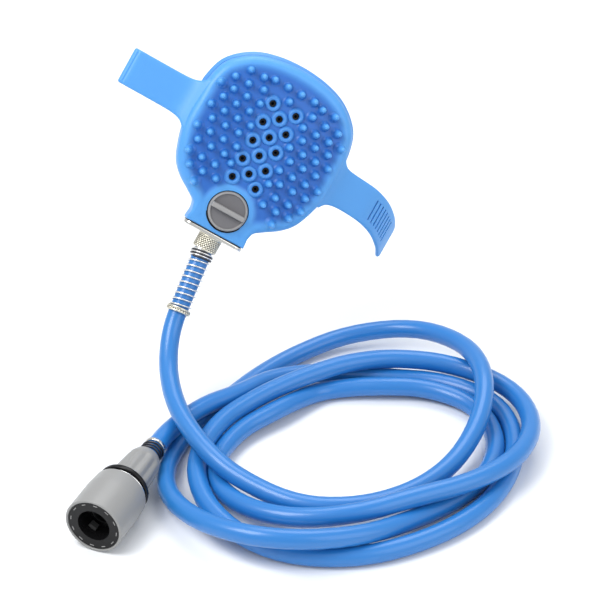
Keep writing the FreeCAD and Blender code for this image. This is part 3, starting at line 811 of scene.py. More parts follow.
class Head:
    """The sprayer's head: face, back cover, button and neck.

    A row of nubs is its place along the head, its first nub's distance from the middle
    and the number of nubs on each side.
    """

    NUB_ROWS = ((17.8, 4.8, 2), (15.9, 20.9, 2), (9, 17.5, 1), (7.8, 27.5, 2), (0.4, 15.4, 4),
                (-6.8, 18.9, 3), (-14.3, 14, 4), (-21.8, 18.4, 3), (-29.8, 15.3, 4), (-37.4, 19.8, 3),
                (-40.4, 13.6, 1), (-46, 21.6, 3), (-53.4, 16.9, 3), (-61.6, 28, 1))
    LONE_NUBS = ((0, 10.3),)
    NUB_PROFILE = ((4.6, -0.6), (3.9, -0.12), (3.25, 0.2), (2.75, 0.62), (2.42, 1.3), (2.2, 2.3),
                   (2.0, 3.4), (1.8, 4.5), (1.62, 5.3), (1.36, 5.95), (0.95, 6.42), (0.48, 6.66), (0, 6.73))
    RING_PROFILE = ((6.2, -0.5), (5.4, -0.02), (5.0, 0.3), (4.8, 0.85), (4.5, 1.35), (3.95, 1.6),
                    (3.3, 1.6), (2.75, 1.35), (2.4, 0.9), (2.25, 0.3), (2.2, -3.0))
    NUB_LEAN = (4, -7)
    # the painted shade fades out up each nub between these heights
    NUB_SHADE_FADE = (0.2, 4.6)
    RING_FOOT = 0.2
    # the share of the painted shade that a ring keeps above its foot
    RING_SHADE = 0.45
    FACE_RIM = 5.2
    BACK_RIM = 3.4
    NECK_RIM = 1.0
    NECK_FADE = (-82, -62)
    SCREWS = ((-30, 8), (30, 8), (-30, -50), (30, -50))
    SCREW_HOLE = 2.4
    BUTTON_CORNERS = ((0, 3.4, 0), (12.6, 3.4, 0.2), (12.6, 6.9, 0.3), (11.9, 7.8, 0.4), (11.3, 7.8, 0.3),
                      (10.9, 6.6, 0.6), (0, 5.6, 0))
    # the button's disc above this height and inside the next radius carries painted shade
    BUTTON_UNDERSIDE = 5
    RECESS = 11.0
    RIDGE = (23.2, 3.2, 5.0)
    RIDGE_LEVEL = 7.9
    BEZEL_CORNERS = ((12.8, 1.9, 0.2), (13.8, 1.9, 0.2), (13.8, 5.4, 0.4), (12.8, 5.4, 0.4))
    PLATE = (41, 2.2, 17.6)
    PLATE_AT = -86.0
    PLATE_CORNER = 5.2
    PLATE_EDGE = 0.35
    FERRULE_TOP = -87.15

    def __init__(self, sizes: HeadSizes) -> None:
        """Keeps the sizes and draws the outline."""
        self.sizes = sizes
        self.outline = HeadOutline(sizes)

    # -- surfaces

    def dome(self, x: float, y: float) -> float:
        """Works out the front dome's height.

        Args:
            x: the place across the head.
            y: the place along it.

        Returns:
            The height.
        """
        sizes = self.sizes
        reach = x * x + (y - sizes.middle) ** 2
        return sizes.front_top - sizes.front_radius + math.sqrt(sizes.front_radius ** 2 - reach)

    def field(self, x: float, y: float) -> float:
        """Tells the sunken field of nubs from the rim and the ground round the button.

        Args:
            x: the place across the head.
            y: the place along it.

        Returns:
            1 on the field, 0 off it and a smooth ramp between.
        """
        sizes = self.sizes
        inside = smoothstep(sizes.rim_outer, sizes.rim_inner, self.outline.depth(x, y))
        button = math.hypot(x, y - sizes.button_place)
        return inside * smoothstep(sizes.button_clear, sizes.button_blend, button)

    def face_level(self, x: float, y: float) -> float:
        """The face's height over a place, without the rim's rounding."""
        return self.dome(x, y) - self.sizes.dish * self.field(x, y)

    def back_level(self, x: float, y: float) -> float:
        """Works out how far out from the middle the palm side lies.

        Args:
            x: the place across the head.
            y: the place along it.

        Returns:
            The distance.
        """
        sizes = self.sizes
        reach = x * x + (y - sizes.middle) ** 2
        return math.sqrt(sizes.back_radius ** 2 - reach) - sizes.back_radius - sizes.back_low

    def rim(self, y: float, wide: float) -> float:
        """A rim radius that gets smaller towards the neck."""
        return self.NECK_RIM + (wide - self.NECK_RIM) * smoothstep(*self.NECK_FADE, y)

    # -- places

    def jets(self) -> list[Pair]:
        """Works out where the fourteen jets are.

        Returns:
            Each jet's place: five in each outer column and four in the middle one.
        """
        sizes = self.sizes
        places = []
        for row in range(5):
            level = sizes.jet_top - row * sizes.jet_pitch
            places += [(-sizes.jet_column, level), (sizes.jet_column, level)]
        return places + [(0.0, sizes.jet_middle_top - row * sizes.jet_pitch) for row in range(4)]

    def nubs(self) -> list[Pair]:
        """Works out where the staggered nubs are.

        Returns:
            Each nub's place.
        """
        places = list(self.LONE_NUBS)
        for level, first, count in self.NUB_ROWS:
            for index in range(count):
                reach = first + index * self.sizes.nub_step
                places += [(-reach, level), (reach, level)]
        return places

    # -- pieces

    def face(self) -> bpy.types.Object:
        """Makes the silicone face with its rings and nubs.

        Returns:
            The face.
        """
        sizes = self.sizes
        shell = Shell(self.outline, self.face_level, lambda y: self.rim(y, self.FACE_RIM), sizes.joint,
                      sizes.wall)
        drill = bmesh.new()
        for x, y in self.jets():
            add_drill(drill, (x, y, 4), sizes.ring_bore, 24, 32)
        add_drill(drill, (0, sizes.button_place, 6), sizes.button_hole, 30, 96)
        bm = carve(shell.build(), drill)
        nub = lathe(self.NUB_PROFILE, 24, closed=False)
        ring = lathe(self.RING_PROFILE, 40, closed=False)
        across, along = self.NUB_LEAN
        for x, y in self.nubs():
            lean = Matrix.Rotation(math.radians(x / across), 4, "Y")
            lean @= Matrix.Rotation(math.radians((y - sizes.middle) / along), 4, "X")
            merge(bm, nub, Matrix.Translation((x, y, self.face_level(x, y))) @ lean)
        for x, y in self.jets():
            merge(bm, ring, Matrix.Translation((x, y, self.face_level(x, y))))
        # paints shade on the sunken field and round the feet of nubs and rings
        self.add_painted_shade(bm)
        return piece(bm, "face_skin", HEAD, Slot.SILICONE, replaces=["silicone_face"], sharp=50)

    def add_painted_shade(self, bm: bmesh.types.BMesh) -> None:
        """Paints shade on the face: darker on the field, and at the foot of rings and nubs, where shade falls
        between them; part of the darkness is the deeper colour of thin silicone over the body.

        Args:
            bm: the face's mesh.
        """
        layer = bm.verts.layers.float.new("painted_shade")
        jets = self.jets()
        for vert in bm.verts:
            x, y, z = vert.co
            painted_shade = self.field(x, y)
            rise = z - self.face_level(x, y)
            if min(math.hypot(x - jet_x, y - jet_y) for jet_x, jet_y in jets) < self.sizes.ring_reach:
                painted_shade *= self.RING_SHADE if rise > self.RING_FOOT else 1.0
            else:
                painted_shade *= 1 - smoothstep(*self.NUB_SHADE_FADE, rise)
            vert[layer] = painted_shade

    def back(self) -> bpy.types.Object:
        """Makes the palm side's cover with its screw recesses.

        Returns:
            The cover.
        """
        sizes = self.sizes
        shell = Shell(self.outline, self.back_level, lambda y: self.rim(y, self.BACK_RIM), sizes.back_joint,
                      sizes.wall)
        drill = bmesh.new()
        for x, y in self.SCREWS:
            add_drill(drill, (x, y, 12), self.SCREW_HOLE, 20, 40)
        bm = carve(shell.build(), drill)
        bmesh.ops.transform(bm, matrix=Matrix.Diagonal((1, 1, -1, 1)), verts=bm.verts)
        return piece(bm, "back_shell", HEAD, Slot.COVER, replaces=["back_cover"], sharp=50)

    def button(self) -> list[bpy.types.Object]:
        """Makes the shut-off button with its ridge, its disc painted darker round the ridge as shade, and the rim
        round it.

        Returns:
            The button and the rim.
        """
        place = Matrix.Translation((0, self.sizes.button_place, 0))
        cap = lathe(rounded(self.BUTTON_CORNERS), 128)
        # painted shade: the disc round the ridge, inside the rim, is darker where the ridge shades it; the ridge
        # and the rim stay plain grey
        layer = cap.verts.layers.float.new("painted_shade")
        for vert in cap.verts:
            radius = math.hypot(vert.co.x, vert.co.y)
            vert[layer] = float(vert.co.z > self.BUTTON_UNDERSIDE and radius < self.RECESS)
        ridge = rounded_box(self.RIDGE, 0.8, 4)
        merge(cap, ridge, Matrix.Translation((0, 0, self.RIDGE_LEVEL)))
        ridge.free()
        cap.transform(place)
        knob = piece(cap, "button_cap", HEAD, Slot.GREY, body="button", replaces=["push_button"])
        # painted shadow: the sunken ring round the button is black all round, standing in for the shade in the gap
        bezel = lathe(rounded(self.BEZEL_CORNERS), 128)
        bezel.transform(place)
        rim = piece(bezel, "button_rim", HEAD, Slot.BLACK, replaces=["button_bezel"])
        return [knob, rim]

    def neck(self) -> list[bpy.types.Object]:
        """Makes the bright plate across the neck and the knurled ferrule under it.

        Returns:
            The plate and the ferrule.
        """
        plate = bmesh.new()
        bmesh.ops.create_cube(plate, size=1.0, matrix=Matrix.Diagonal((*self.PLATE, 1.0)))
        corners = [edge for edge in plate.edges if abs(edge.verts[0].co.y - edge.verts[1].co.y) > 1]
        bmesh.ops.bevel(plate, geom=corners, offset=self.PLATE_CORNER, segments=8, profile=0.5,
                        affect="EDGES", material=-1)
        rims = [edge for edge in plate.edges if abs(edge.verts[0].co.y - edge.verts[1].co.y) < 0.1]
        bmesh.ops.bevel(plate, geom=rims, offset=self.PLATE_EDGE, segments=2, profile=0.5,
                        affect="EDGES", material=-1)
        plate.transform(Matrix.Translation((0, self.PLATE_AT, DUCT_LEVEL)))
        flange = piece(plate, "neck_plate", HEAD, Slot.BRIGHT, replaces=["flange_plate"])
        # the ferrule's grooves carry painted shade
        sleeve = knurled_ring(8.0, 5.7, 9.9, 34)
        place = Matrix.Translation((0, self.FERRULE_TOP, DUCT_LEVEL))
        sleeve.transform(place @ Matrix.Rotation(math.pi / 2, 4, "X"))
        ferrule = piece(sleeve, "knurled_ferrule", HEAD, Slot.KNURLED, replaces=["hose_ferrule"], sharp=80)
        return [flange, ferrule]


KNURL_TEETH = 26
KNURL_MARGIN = 0.9
KNURL_DEPTH = 0.45
KNURL_ROUNDNESS = 0.6
# where the painted shade in the grooves fades out
KNURL_SHADE = (0.05, 0.5)
KNURL_FACETS = 8


def knurled_ring(outer: float, bore: float, length: float, rows: int) -> bmesh.types.BMesh:
    """Makes a ring with a diamond knurl, standing on Z, with painted shade in its grooves.

    Args:
        outer: the ring's outer radius.
        bore: its inner radius.
        length: its length.
        rows: the number of rows of faces along the knurl.

    Returns:
        The new mesh.
    """
    knurl = length - 2 * KNURL_MARGIN
    low_edge = [(bore, 0.2), (bore + 0.2, 0), (outer - 0.5, 0), (outer - 0.12, 0.18), (outer, 0.5)]
    high_edge = [(radius, length - height) for radius, height in reversed(low_edge)]
    sides = [(outer, KNURL_MARGIN + knurl * step / rows) for step in range(rows + 1)]
    bm = lathe([*low_edge, *sides, *high_edge], KNURL_TEETH * KNURL_FACETS)
    layer = bm.verts.layers.float.new("painted_shade")
    for vert in bm.verts:
        radius = math.hypot(vert.co.x, vert.co.y)
        if radius > outer - 0.01 and KNURL_MARGIN < vert.co.z < length - KNURL_MARGIN:
            angle = math.atan2(vert.co.y, vert.co.x) * KNURL_TEETH / 2
            slant = vert.co.z * KNURL_TEETH / (2 * outer)
            cross = abs(math.sin(angle + slant)) * abs(math.sin(angle - slant))
            # painted shade in the grooves
            vert[layer] = 1 - smoothstep(*KNURL_SHADE, cross)
            scale = 1 - KNURL_DEPTH * (1 - cross ** KNURL_ROUNDNESS) / outer
            vert.co.x *= scale
            vert.co.y *= scale
    return bm


# ---------------------------------------------------------------- straps

class Strap:
    """A flat band that bends where it leaves the head."""

    THICK = 2.6
    HALF = 12.0
    ROOT_AT = 49.5
    ROOT_WIDER = 6.5
    ROOT_FADE = 3.6
    SWELL_AT = 47.0
    SWELL = 1.3
    SWELL_FADE = 4.5
    END_NARROWER = 1.6
    END_LENGTH = 2.0
    EDGE_FROM = 0.9
    EDGE_WIDE = 0.1
    CREASE_DEPTH = 0.5
    CREASE_HALF = 0.45
    SLOT_HALF = 0.6
    SLOT_COLUMNS = range(4, 8)
    CLEAR = 0.5
    PARTS = 60
    BEND_FROM = 49
    BEND_TO = 60
    BEND_PLACE = -20
    ACROSS = (-1.0, -0.985, -0.93, -0.85, -0.5833, -0.2917, 0.0, 0.2917, 0.5833, 0.85, 0.93, 0.985, 1.0)

    def __init__(self, name: str, side: int, path: Sequence[tuple[float, float, float]],
                 slots: Sequence[float] = (), creases: Sequence[float] = ()) -> None:
        """Keeps the band's places and draws its middle line.

        Args:
            name: the CAD node and body.
            side: 1 for the right of the head and -1 for the left.
            path: the band's middle line, in the head's frame.
            slots: how far along the line each slot's middle lies.
            creases: how far along the line each fold line lies.
        """
        self.name = name
        self.side = side
        self.line = self.smooth([Vector(point) for point in path])
        self.slots = slots
        self.creases = creases

    @staticmethod
    def smooth(path: list[Vector], steps: int = 10) -> list[Vector]:
        """Draws a smooth line through a path's points.

        Args:
            path: the points.
            steps: the number of short lines between two of them.

        Returns:
            The line's points.
        """
        chain = [2 * path[0] - path[1], *path, 2 * path[-1] - path[-2]]
        line = []
        for a, b, c, d in zip(chain, chain[1:], chain[2:], chain[3:]):
            line += [curve_point(a, b, c, d, step / steps) for step in range(steps)]
        return [*line, path[-1]]

    def stations(self) -> list[float]:
        """Chooses where the band's rows of vertices lie.

        Returns:
            Distances along the line, with one on each side of every slot and three at each crease.
        """
        total = sum((b - a).length for a, b in zip(self.line, self.line[1:]))
        marks = [total * step / self.PARTS for step in range(self.PARTS + 1)]
        edges = [middle + offset for middle in self.slots for offset in (-self.SLOT_HALF, self.SLOT_HALF)]
        edges += [fold + offset for fold in self.creases
                  for offset in (-self.CREASE_HALF, 0, self.CREASE_HALF)]
        marks = [mark for mark in marks if all(abs(mark - edge) > self.CLEAR for edge in edges)]
        marks = [mark for mark in marks if all(abs(mark - middle) > self.SLOT_HALF for middle in self.slots)]
        return sorted(marks + edges)

    def point(self, distance: float) -> tuple[Vector, Vector]:
        """Follows the line.

        Args:
            distance: how far along it to go.

        Returns:
            The line's place and direction there.
        """
        left = distance
        for start, end in zip(self.line, self.line[1:]):
            run = (end - start).length
            if left <= run + 1e-6:
                return start.lerp(end, min(left / run, 1.0)), (end - start).normalized()
            left -= run
        return self.line[-1], (self.line[-1] - self.line[-2]).normalized()

    def half_width(self, place: Vector, ending: float) -> float:
        """Works out half the band's width: flared at the root, rounded at the end.

        Args:
            place: the line's place.
            ending: how far it is from the band's end.

        Returns:
            Half the width.
        """
        out = max(abs(place.x) - self.ROOT_AT, 0.0)
        half = self.HALF + self.ROOT_WIDER * math.exp(-out / self.ROOT_FADE)
        return half - self.END_NARROWER * (1 - smoothstep(0.0, self.END_LENGTH, ending))

    def build(self) -> bpy.types.Object:
        """Makes the band, shaped along its middle line, and bakes it into the row frame.

        Returns:
            The band.
        """
        bm = bmesh.new()
        marks = self.stations()
        total = marks[-1]
        across = Vector((0, 1, 0))
        tops, bottoms = [], []
        for mark in marks:
            place, way = self.point(mark)
            normal = way.cross(across).normalized() * -self.side
            half = self.half_width(place, total - mark)
            out = max(abs(place.x) - self.SWELL_AT, 0.0)
            thick = self.THICK / 2 + self.SWELL * math.exp(-out / self.SWELL_FADE)
            if mark in self.creases:
                thick -= self.CREASE_DEPTH
            tops.append(self.row(bm, place, across, normal, half, thick))
            bottoms.append(self.row(bm, place, across, normal, half, -thick))
        self.skin(bm, marks, tops, bottoms)
        band = piece(bm, f"{self.name}_band", HEAD, Slot.SILICONE, body=None, replaces=[self.name], sharp=60)
        HEAD.at(self.side * self.BEND_FROM, self.BEND_PLACE, 0)
        HEAD.at(self.side * self.BEND_TO, self.BEND_PLACE, 0)
        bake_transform(band)
        return band

    def row(self, bm: bmesh.types.BMesh, place: Vector, across: Vector, normal: Vector, half: float,
            thick: float) -> list[bmesh.types.BMVert]:
        """Adds one row of vertices across the band, its edges rounded over.

        Args:
            bm: the band's mesh.
            place: the line's place.
            across: the direction across the band.
            normal: the direction out of its face.
            half: half its width.
            thick: how far the face lies from the line, below 0 for the under side.

        Returns:
            The row's vertices.
        """
        row = []
        for share in self.ACROSS:
            edge = max(abs(share) - self.EDGE_FROM, 0) / self.EDGE_WIDE
            round_off = math.sqrt(max(1 - edge ** 2, 0.0))
            row.append(bm.verts.new(place + across * (share * half) + normal * (thick * round_off)))
        return row

    def skin(self, bm: bmesh.types.BMesh, marks: list[float], tops: list[list[bmesh.types.BMVert]],
             bottoms: list[list[bmesh.types.BMVert]]) -> None:
        """Adds both faces, the ends and the walls of the slots.

        Args:
            bm: the band's mesh.
            marks: each row's distance along the line.
            tops: the upper face's rows.
            bottoms: the under face's rows.
        """
        width = len(self.ACROSS)
        gaps = []
        for index in range(len(marks) - 1):
            middle = (marks[index] + marks[index + 1]) / 2
            slotted = any(abs(middle - slot) < self.SLOT_HALF / 2 for slot in self.slots)
            for column in range(width - 1):
                corners = [(index, column), (index + 1, column), (index + 1, column + 1), (index, column + 1)]
                if slotted and column in self.SLOT_COLUMNS:
                    gaps.append(corners)
                    continue
                bm.faces.new([tops[i][j] for i, j in corners])
                bm.faces.new([bottoms[i][j] for i, j in reversed(corners)])
        edges: dict[frozenset, tuple] = {}
        for corners in gaps:
            for pair in zip(corners, corners[1:] + corners[:1]):
                key = frozenset(pair)
                if key in edges:
                    edges.pop(key)
                else:
                    edges[key] = pair
        for (i, j), (k, m) in edges.values():
            bm.faces.new((tops[i][j], tops[k][m], bottoms[k][m], bottoms[i][j]))
        for end in (0, -1):
            for column in range(width - 1):
                bm.faces.new((tops[end][column], tops[end][column + 1], bottoms[end][column + 1],
                              bottoms[end][column]))
        bmesh.ops.remove_doubles(bm, verts=bm.verts, dist=0.01)


# ---------------------------------------------------------------- the hose

@dataclass(frozen=True)
class HoseRoute:
    """The hose's route in the floor's frame, in millimetres.

    Args:
        riser: points on the way down from the head.
        reach: the loose turns' distances from the middle, one at each key.
        rise: their heights over the floor.
        tail: points on the way to the connector.
        start_angle: the first key's direction, in degrees.
        key_angle: the angle between two keys.
    """

    riser: tuple[tuple[float, float, float], ...]
    reach: tuple[float, ...]
    rise: tuple[float, ...]
    tail: tuple[tuple[float, float, float], ...]
    start_angle: float = -112.5
    key_angle: float = 45.0


ROUTE = HoseRoute(
    riser=((-113, 47, 55), (-115, 27, 41), (-111, 3, 33), (-102, -20, 28), (-88, -42, 23), (-71, -60, 18)),
    reach=(92, 78, 75, 92, 117, 95, 86, 127, 140, 96, 93, 85, 52, 50, 50, 95, 107, 91, 109, 113, 72, 53, 63,
           106, 128, 114, 105, 99, 67, 69, 76),
    rise=(15.5, 13, 16, 29, 15.5, 6, 7.5, 6.5, 25, 8.5, 6, 6.5, 9, 6, 11, 6, 16, 21, 18.5, 11, 18.5, 19.5,
          17.5, 12, 6.5, 6, 6, 6, 6, 8.5, 16.5),
    tail=((-93, 12, 19), (-113, -13, 18)),
)


class Hose:
    """The hose with its strain relief."""

    LENGTH = 2.5
    DIAMETER = 12.0
    COIL_RADIUS = 7.0
    CLOSE_TURNS = 2.2
    CLOSE_PITCH = 2.0
    OPEN_PITCH = 3.75
    OPEN_TURNS = 9.3
    WIRE_START = 1.8
    WIRE = 0.56
    # the radius of the dark wire that paints the shadow between the close turns
    SHADOW_WIRE = 0.6
    CRIMP_AT = 40.9
    OUT_OF_HEAD = (-4, 6, 18, 29)
    INTO_CONNECTOR = (78, 64, 50)

    def __init__(self, route: HoseRoute) -> None:
        """Keeps the route."""
        self.route = route

    @staticmethod
    def between(values: Sequence[float], index: int) -> float:
        """Finds the smooth value half way between two keys.

        Args:
            values: a value at each key.
            index: the first of the two keys.

        Returns:
            The value between them.
        """
        last = len(values) - 1
        before, after = values[max(index - 1, 0)], values[min(index + 2, last)]
        return (9 * (values[index] + values[index + 1]) - before - after) / 16

    def points(self) -> list[Vector]:
        """Lists the route's control points.

        Returns:
            The points in the row frame, from the head to the connector.
        """
        route = self.route
        points = [RELIEF.at(0, 0, along) for along in self.OUT_OF_HEAD]
        points += [FLOOR_PLACE + Vector(point) * MM for point in route.riser]
        for index in range(len(route.reach)):
            angle = math.radians(route.start_angle + route.key_angle * index)
            points.append(self.turn(angle, route.reach[index], route.rise[index]))
            if index + 1 < len(route.reach):
                points.append(self.turn(angle + math.radians(route.key_angle / 2),
                                        self.between(route.reach, index), self.between(route.rise, index)))
        points += [FLOOR_PLACE + Vector(point) * MM for point in route.tail]
        return points + [CONNECTOR.at(0, 0, along) for along in self.INTO_CONNECTOR]

    @staticmethod
    def turn(angle: float, reach: float, rise: float) -> Vector:
        """A point of the loose turns."""
        return FLOOR_PLACE + Vector((reach * math.cos(angle), reach * math.sin(angle), rise)) * MM

    def build(self, riders: list[bpy.types.Object]) -> bpy.types.Object:
        """Makes the hose as one curve.

        Args:
            riders: the pieces on the hose; not used.

        Returns:
            The hose.
        """
        curve = bpy.data.curves.new("hose", "CURVE")
        curve.dimensions = "3D"
        curve.bevel_depth = self.DIAMETER / 2 * MM
        curve.bevel_resolution = 8
        curve.resolution_u = 5
        curve.use_fill_caps = True
        line = curve.splines.new("NURBS")
        points = self.points()
        line.points.add(len(points) - 1)
        for mark, point in zip(line.points, points):
            mark.co = (*point, 1.0)
        line.order_u = 3
        line.use_endpoint_u = True
        line.use_smooth = True
        thing = bpy.data.objects.new("hose", curve)
        bpy.context.scene.collection.objects.link(thing)
        curve.materials.append(PAINTS.get(Slot.HOSE))
        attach(thing, BODY)
        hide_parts("hose_riser", "hose_coil", "hose_tail")
        RELIEF.at(0, 0, 0)
        LOG.info("made %s", thing.name)
        return thing

    def wound(self, start: float, open_turns: float) -> list[Vector]:
        """The middle line of a wire wound round the hose.

        Args:
            start: the height where the wire starts.
            open_turns: the number of open turns after the close ones.

        Returns:
            The line's points, from the head outwards.
        """
        points = []
        steps = 30
        radius = self.COIL_RADIUS
        for step in range(int((self.CLOSE_TURNS + open_turns) * steps) + 1):
            turns = step / steps
            height = start + min(turns, self.CLOSE_TURNS) * self.CLOSE_PITCH
            height += max(turns - self.CLOSE_TURNS, 0) * self.OPEN_PITCH
            angle = turns * math.tau
            points.append(Vector((radius * math.cos(angle), radius * math.sin(angle), height)))
        return points

    def relief(self) -> list[bpy.types.Object]:
        """Makes the spring round the hose at the head, with a dark wire between its first turns that paints the
        shadow between them.

        Returns:
            The dark wire of painted shadow, the spring and the crimped ring that ends it.
        """
        # painted shadow: a dark wire wound half a pitch after the bright one, where the close turns shade each
        # other
        shadow_line = self.wound(self.WIRE_START + self.CLOSE_PITCH / 2, 0)
        dark = piece(tube(shadow_line, self.SHADOW_WIRE), "relief_painted_shadow", RELIEF, Slot.DARK, sharp=80)
        bright = piece(tube(self.wound(self.WIRE_START, self.OPEN_TURNS), self.WIRE), "relief_spring", RELIEF,
                       Slot.SPRING, replaces=["strain_relief_spring"], sharp=80)
        # the crimped ring's grooves carry painted shade too
        ring = knurled_ring(7.9, 6.2, 3.3, 9)
        ring.transform(Matrix.Translation((0, 0, self.CRIMP_AT)))
        crimp = piece(ring, "crimp_band", RELIEF, Slot.KNURLED, replaces=["crimp_ring"], sharp=80)
        return [dark, bright, crimp]


# ---------------------------------------------------------------- the tap connector

class Connector:
    """The quick connector on the hose's far end, with its sizes in millimetres from the mouth."""

    SLEEVE_CORNERS = ((16.5, 25, 0), (16.5, 0, 0.5), (18.0, 0, 0.9), (18.0, 24, 14.0), (17.2, 34.8, 1.2),
                      (16.5, 34.8, 0.4), (16.5, 28, 0), (14.08, 28, 0), (14.08, 25, 0))
    SLEEVE_TRAVEL = 5.0
    DASH = (2.6, 0.55, 0.5)
    DASHES = 12
    DASH_RADIUS = 14.7
    DASH_LEVEL = 0.75
    STOP_CORNERS = ((9.1, 38.05, 0), (16.3, 38.05, 0.9), (16.3, 41.25, 0.9), (9.1, 41.25, 0))
    NUT_CORNERS = ((9.1, 41.6, 0), (12.2, 41.6, 0.8), (11.7, 56, 8.0), (10.9, 65.5, 6.0), (8.6, 72.1, 2.6),
                   (6.4, 72.1, 0.3), (6.4, 60, 0), (9.1, 60, 0))
    NUT_INSIDE = 9.3
    NUT_FACE = 1.2
    RIBS = 10
    RIB_DEPTH = 1.0
    RIB_ROUNDNESS = 1.6
    RIB_START = (43, 46)
    RIB_END = (63, 68)
    TURNS = 3
    TURN_STEPS = 32
    TURN_RADIUS = 6.75
    TURN_START = 73.4
    TURN_PITCH = 2.35
    TURN_WIRE = 0.6
    RING_CORNERS = ((6.15, 81.7, 0.2), (7.3, 81.7, 0.7), (7.3, 84.1, 0.7), (6.15, 84.1, 0.2))
    CAD_NODES = ("connector_barrel", "claw_1", "claw_2", "claw_3", "socket_oring", "hose_collet")

    def build(self) -> list[bpy.types.Object]:
        """Makes every piece of the connector.

        Returns:
            The pieces, CAD nodes among them.
        """
        return [self.sleeve(), self.marks(), self.stop_ring(), self.nut(), self.end_spring(), self.end_ring(),
                pressed_spring("sleeve_spring", CONNECTOR),
                *(frame["nodes"][name] for name in self.CAD_NODES)]

    def sleeve(self) -> bpy.types.Object:
        """The sliding sleeve, slightly barrelled."""
        return piece(lathe(rounded(self.SLEEVE_CORNERS, 6), 144), "sleeve_shell", CONNECTOR, Slot.PALE,
                     body="sleeve", replaces=["slide_sleeve"])

    def marks(self) -> bpy.types.Object:
        """Makes the short raised dashes round the mouth's black rim.

        Returns:
            The dashes, as one piece.
        """
        bm = bmesh.new()
        dash = rounded_box(self.DASH, 0.2, 2)
        out = Matrix.Translation((0, self.DASH_RADIUS, self.DASH_LEVEL))
        for index in range(self.DASHES):
            angle = math.tau * (index + 0.5) / self.DASHES
            merge(bm, dash, Matrix.Rotation(angle, 4, "Z") @ out)
        dash.free()
        return piece(bm, "rim_dashes", CONNECTOR, Slot.GREY)

    def stop_ring(self) -> bpy.types.Object:
        """The glossy ring behind the sleeve."""
        return piece(lathe(rounded(self.STOP_CORNERS), 128), "glossy_ring", CONNECTOR, Slot.BLACK,
                     replaces=["stop_ring"])

    def nut(self) -> bpy.types.Object:
        """Makes the clamping nut with soft ribs and a round shoulder.

        Returns:
            The nut.
        """
        profile: list[Pair] = []
        outline = rounded(self.NUT_CORNERS, 8)
        for start, end in zip(outline, outline[1:] + outline[:1]):
            parts = max(int(math.dist(start, end) / self.NUT_FACE), 1)
            profile += [(start[0] + (end[0] - start[0]) * k / parts,
                         start[1] + (end[1] - start[1]) * k / parts) for k in range(parts)]
        bm = lathe(profile, self.RIBS * 14)
        for vert in bm.verts:
            radius = math.hypot(vert.co.x, vert.co.y)
            if radius < self.NUT_INSIDE:
                continue
            angle = math.atan2(vert.co.y, vert.co.x)
            wave = abs(math.cos(self.RIBS * angle / 2)) ** self.RIB_ROUNDNESS
            reach = smoothstep(*self.RIB_START, vert.co.z) * (1 - smoothstep(*self.RIB_END, vert.co.z))
            scale = 1 - self.RIB_DEPTH * reach * (1 - wave) / radius
            vert.co.x *= scale
            vert.co.y *= scale
        return piece(bm, "ribbed_nut", CONNECTOR, Slot.PALE, body="clamp_nut", replaces=["clamp_nut"])

    def end_spring(self) -> bpy.types.Object:
        """Makes the dark turns round the hose behind the nut.

        Returns:
            The turns, as one piece.
        """
        points = []
        radius = self.TURN_RADIUS
        for step in range(self.TURNS * self.TURN_STEPS + 1):
            angle = math.tau * step / self.TURN_STEPS
            height = self.TURN_START + self.TURN_PITCH * step / self.TURN_STEPS
            points.append(Vector((radius * math.cos(angle), radius * math.sin(angle), height)))
        return piece(tube(points, self.TURN_WIRE), "end_turns", CONNECTOR, Slot.DARK, replaces=["end_spring"],
                     sharp=80)

    def end_ring(self) -> bpy.types.Object:
        """The small bright ring after them."""
        return piece(lathe(rounded(self.RING_CORNERS), 96), "bright_ring", CONNECTOR, Slot.BRIGHT,
                     replaces=["end_ring"])


# ---------------------------------------------------------------- inner springs

SAME_PLACE = 1e-7


def pressed_spring(node: str, basis: Basis) -> bpy.types.Object:
    """A hidden spring that a moving piece presses together.

    Args:
        node: the CAD spring that it stands for.
        basis: the local frame whose Z runs along the spring.

    Returns:
        The spring, copied from the CAD node.
    """
    bm = bmesh.new()
    bm.from_mesh(frame["nodes"][node].data)
    bmesh.ops.remove_doubles(bm, verts=bm.verts, dist=SAME_PLACE)
    bm.transform(basis.matrix.inverted())
    coil = piece(bm, f"{node}_coil", basis, Slot.SPRING, replaces=[node])
    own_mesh(coil)
    return coil


# ---------------------------------------------------------------- CAD finishes, stage, light and camera

CLAW_FINISH = Finish((74, 74, 74), 0.34, grain=0.006)


def paint_cad_nodes() -> None:
    """Gives every CAD node the look of its own slot."""
    names = {slot.value: slot for slot in Slot}
    worn = PAINTS.make(Slot.BLACK, CLAW_FINISH)
    for name, node in frame["nodes"].items():
        if name.startswith("claw_"):
            node.data.materials.clear()
            node.data.materials.append(worn)
            continue
        for index, material in enumerate(node.data.materials):
            slot = names.get(material.name.split(".")[0])
            if slot is not None:
                node.data.materials[index] = PAINTS.get(slot)


FLOOR_HALF = 4.0
FLOOR_GAP = 0.3 * MM
FLOOR_COLOUR = (0.86, 0.87, 0.88, 1.0)
FLOOR_ROUGHNESS = 0.9


def make_floor() -> None:
    """A plain pale floor under the hose."""
    bm = bmesh.new()
    bmesh.ops.create_grid(bm, x_segments=1, y_segments=1, size=FLOOR_HALF,
                          matrix=Matrix.Translation((0, 0, FLOOR_PLACE.z - FLOOR_GAP)))
    floor = raw_object(bm, "floor")
    material = bpy.data.materials.new("pale_floor")
    material.use_nodes = True
    shader = material.node_tree.nodes["Principled BSDF"]
    shader.inputs["Base Color"].default_value = FLOOR_COLOUR
    shader.inputs["Roughness"].default_value = FLOOR_ROUGHNESS
    floor.data.materials.append(material)


@dataclass(frozen=True)
class Lamp:
    """A soft area light that points at the sprayer.

    Args:
        name: the light's name.
        place: where it stands, in metres.
        power: its power, in watts.
        size: its side, in metres.
    """

    name: str
    place: tuple[float, float, float]
    power: float
    size: float


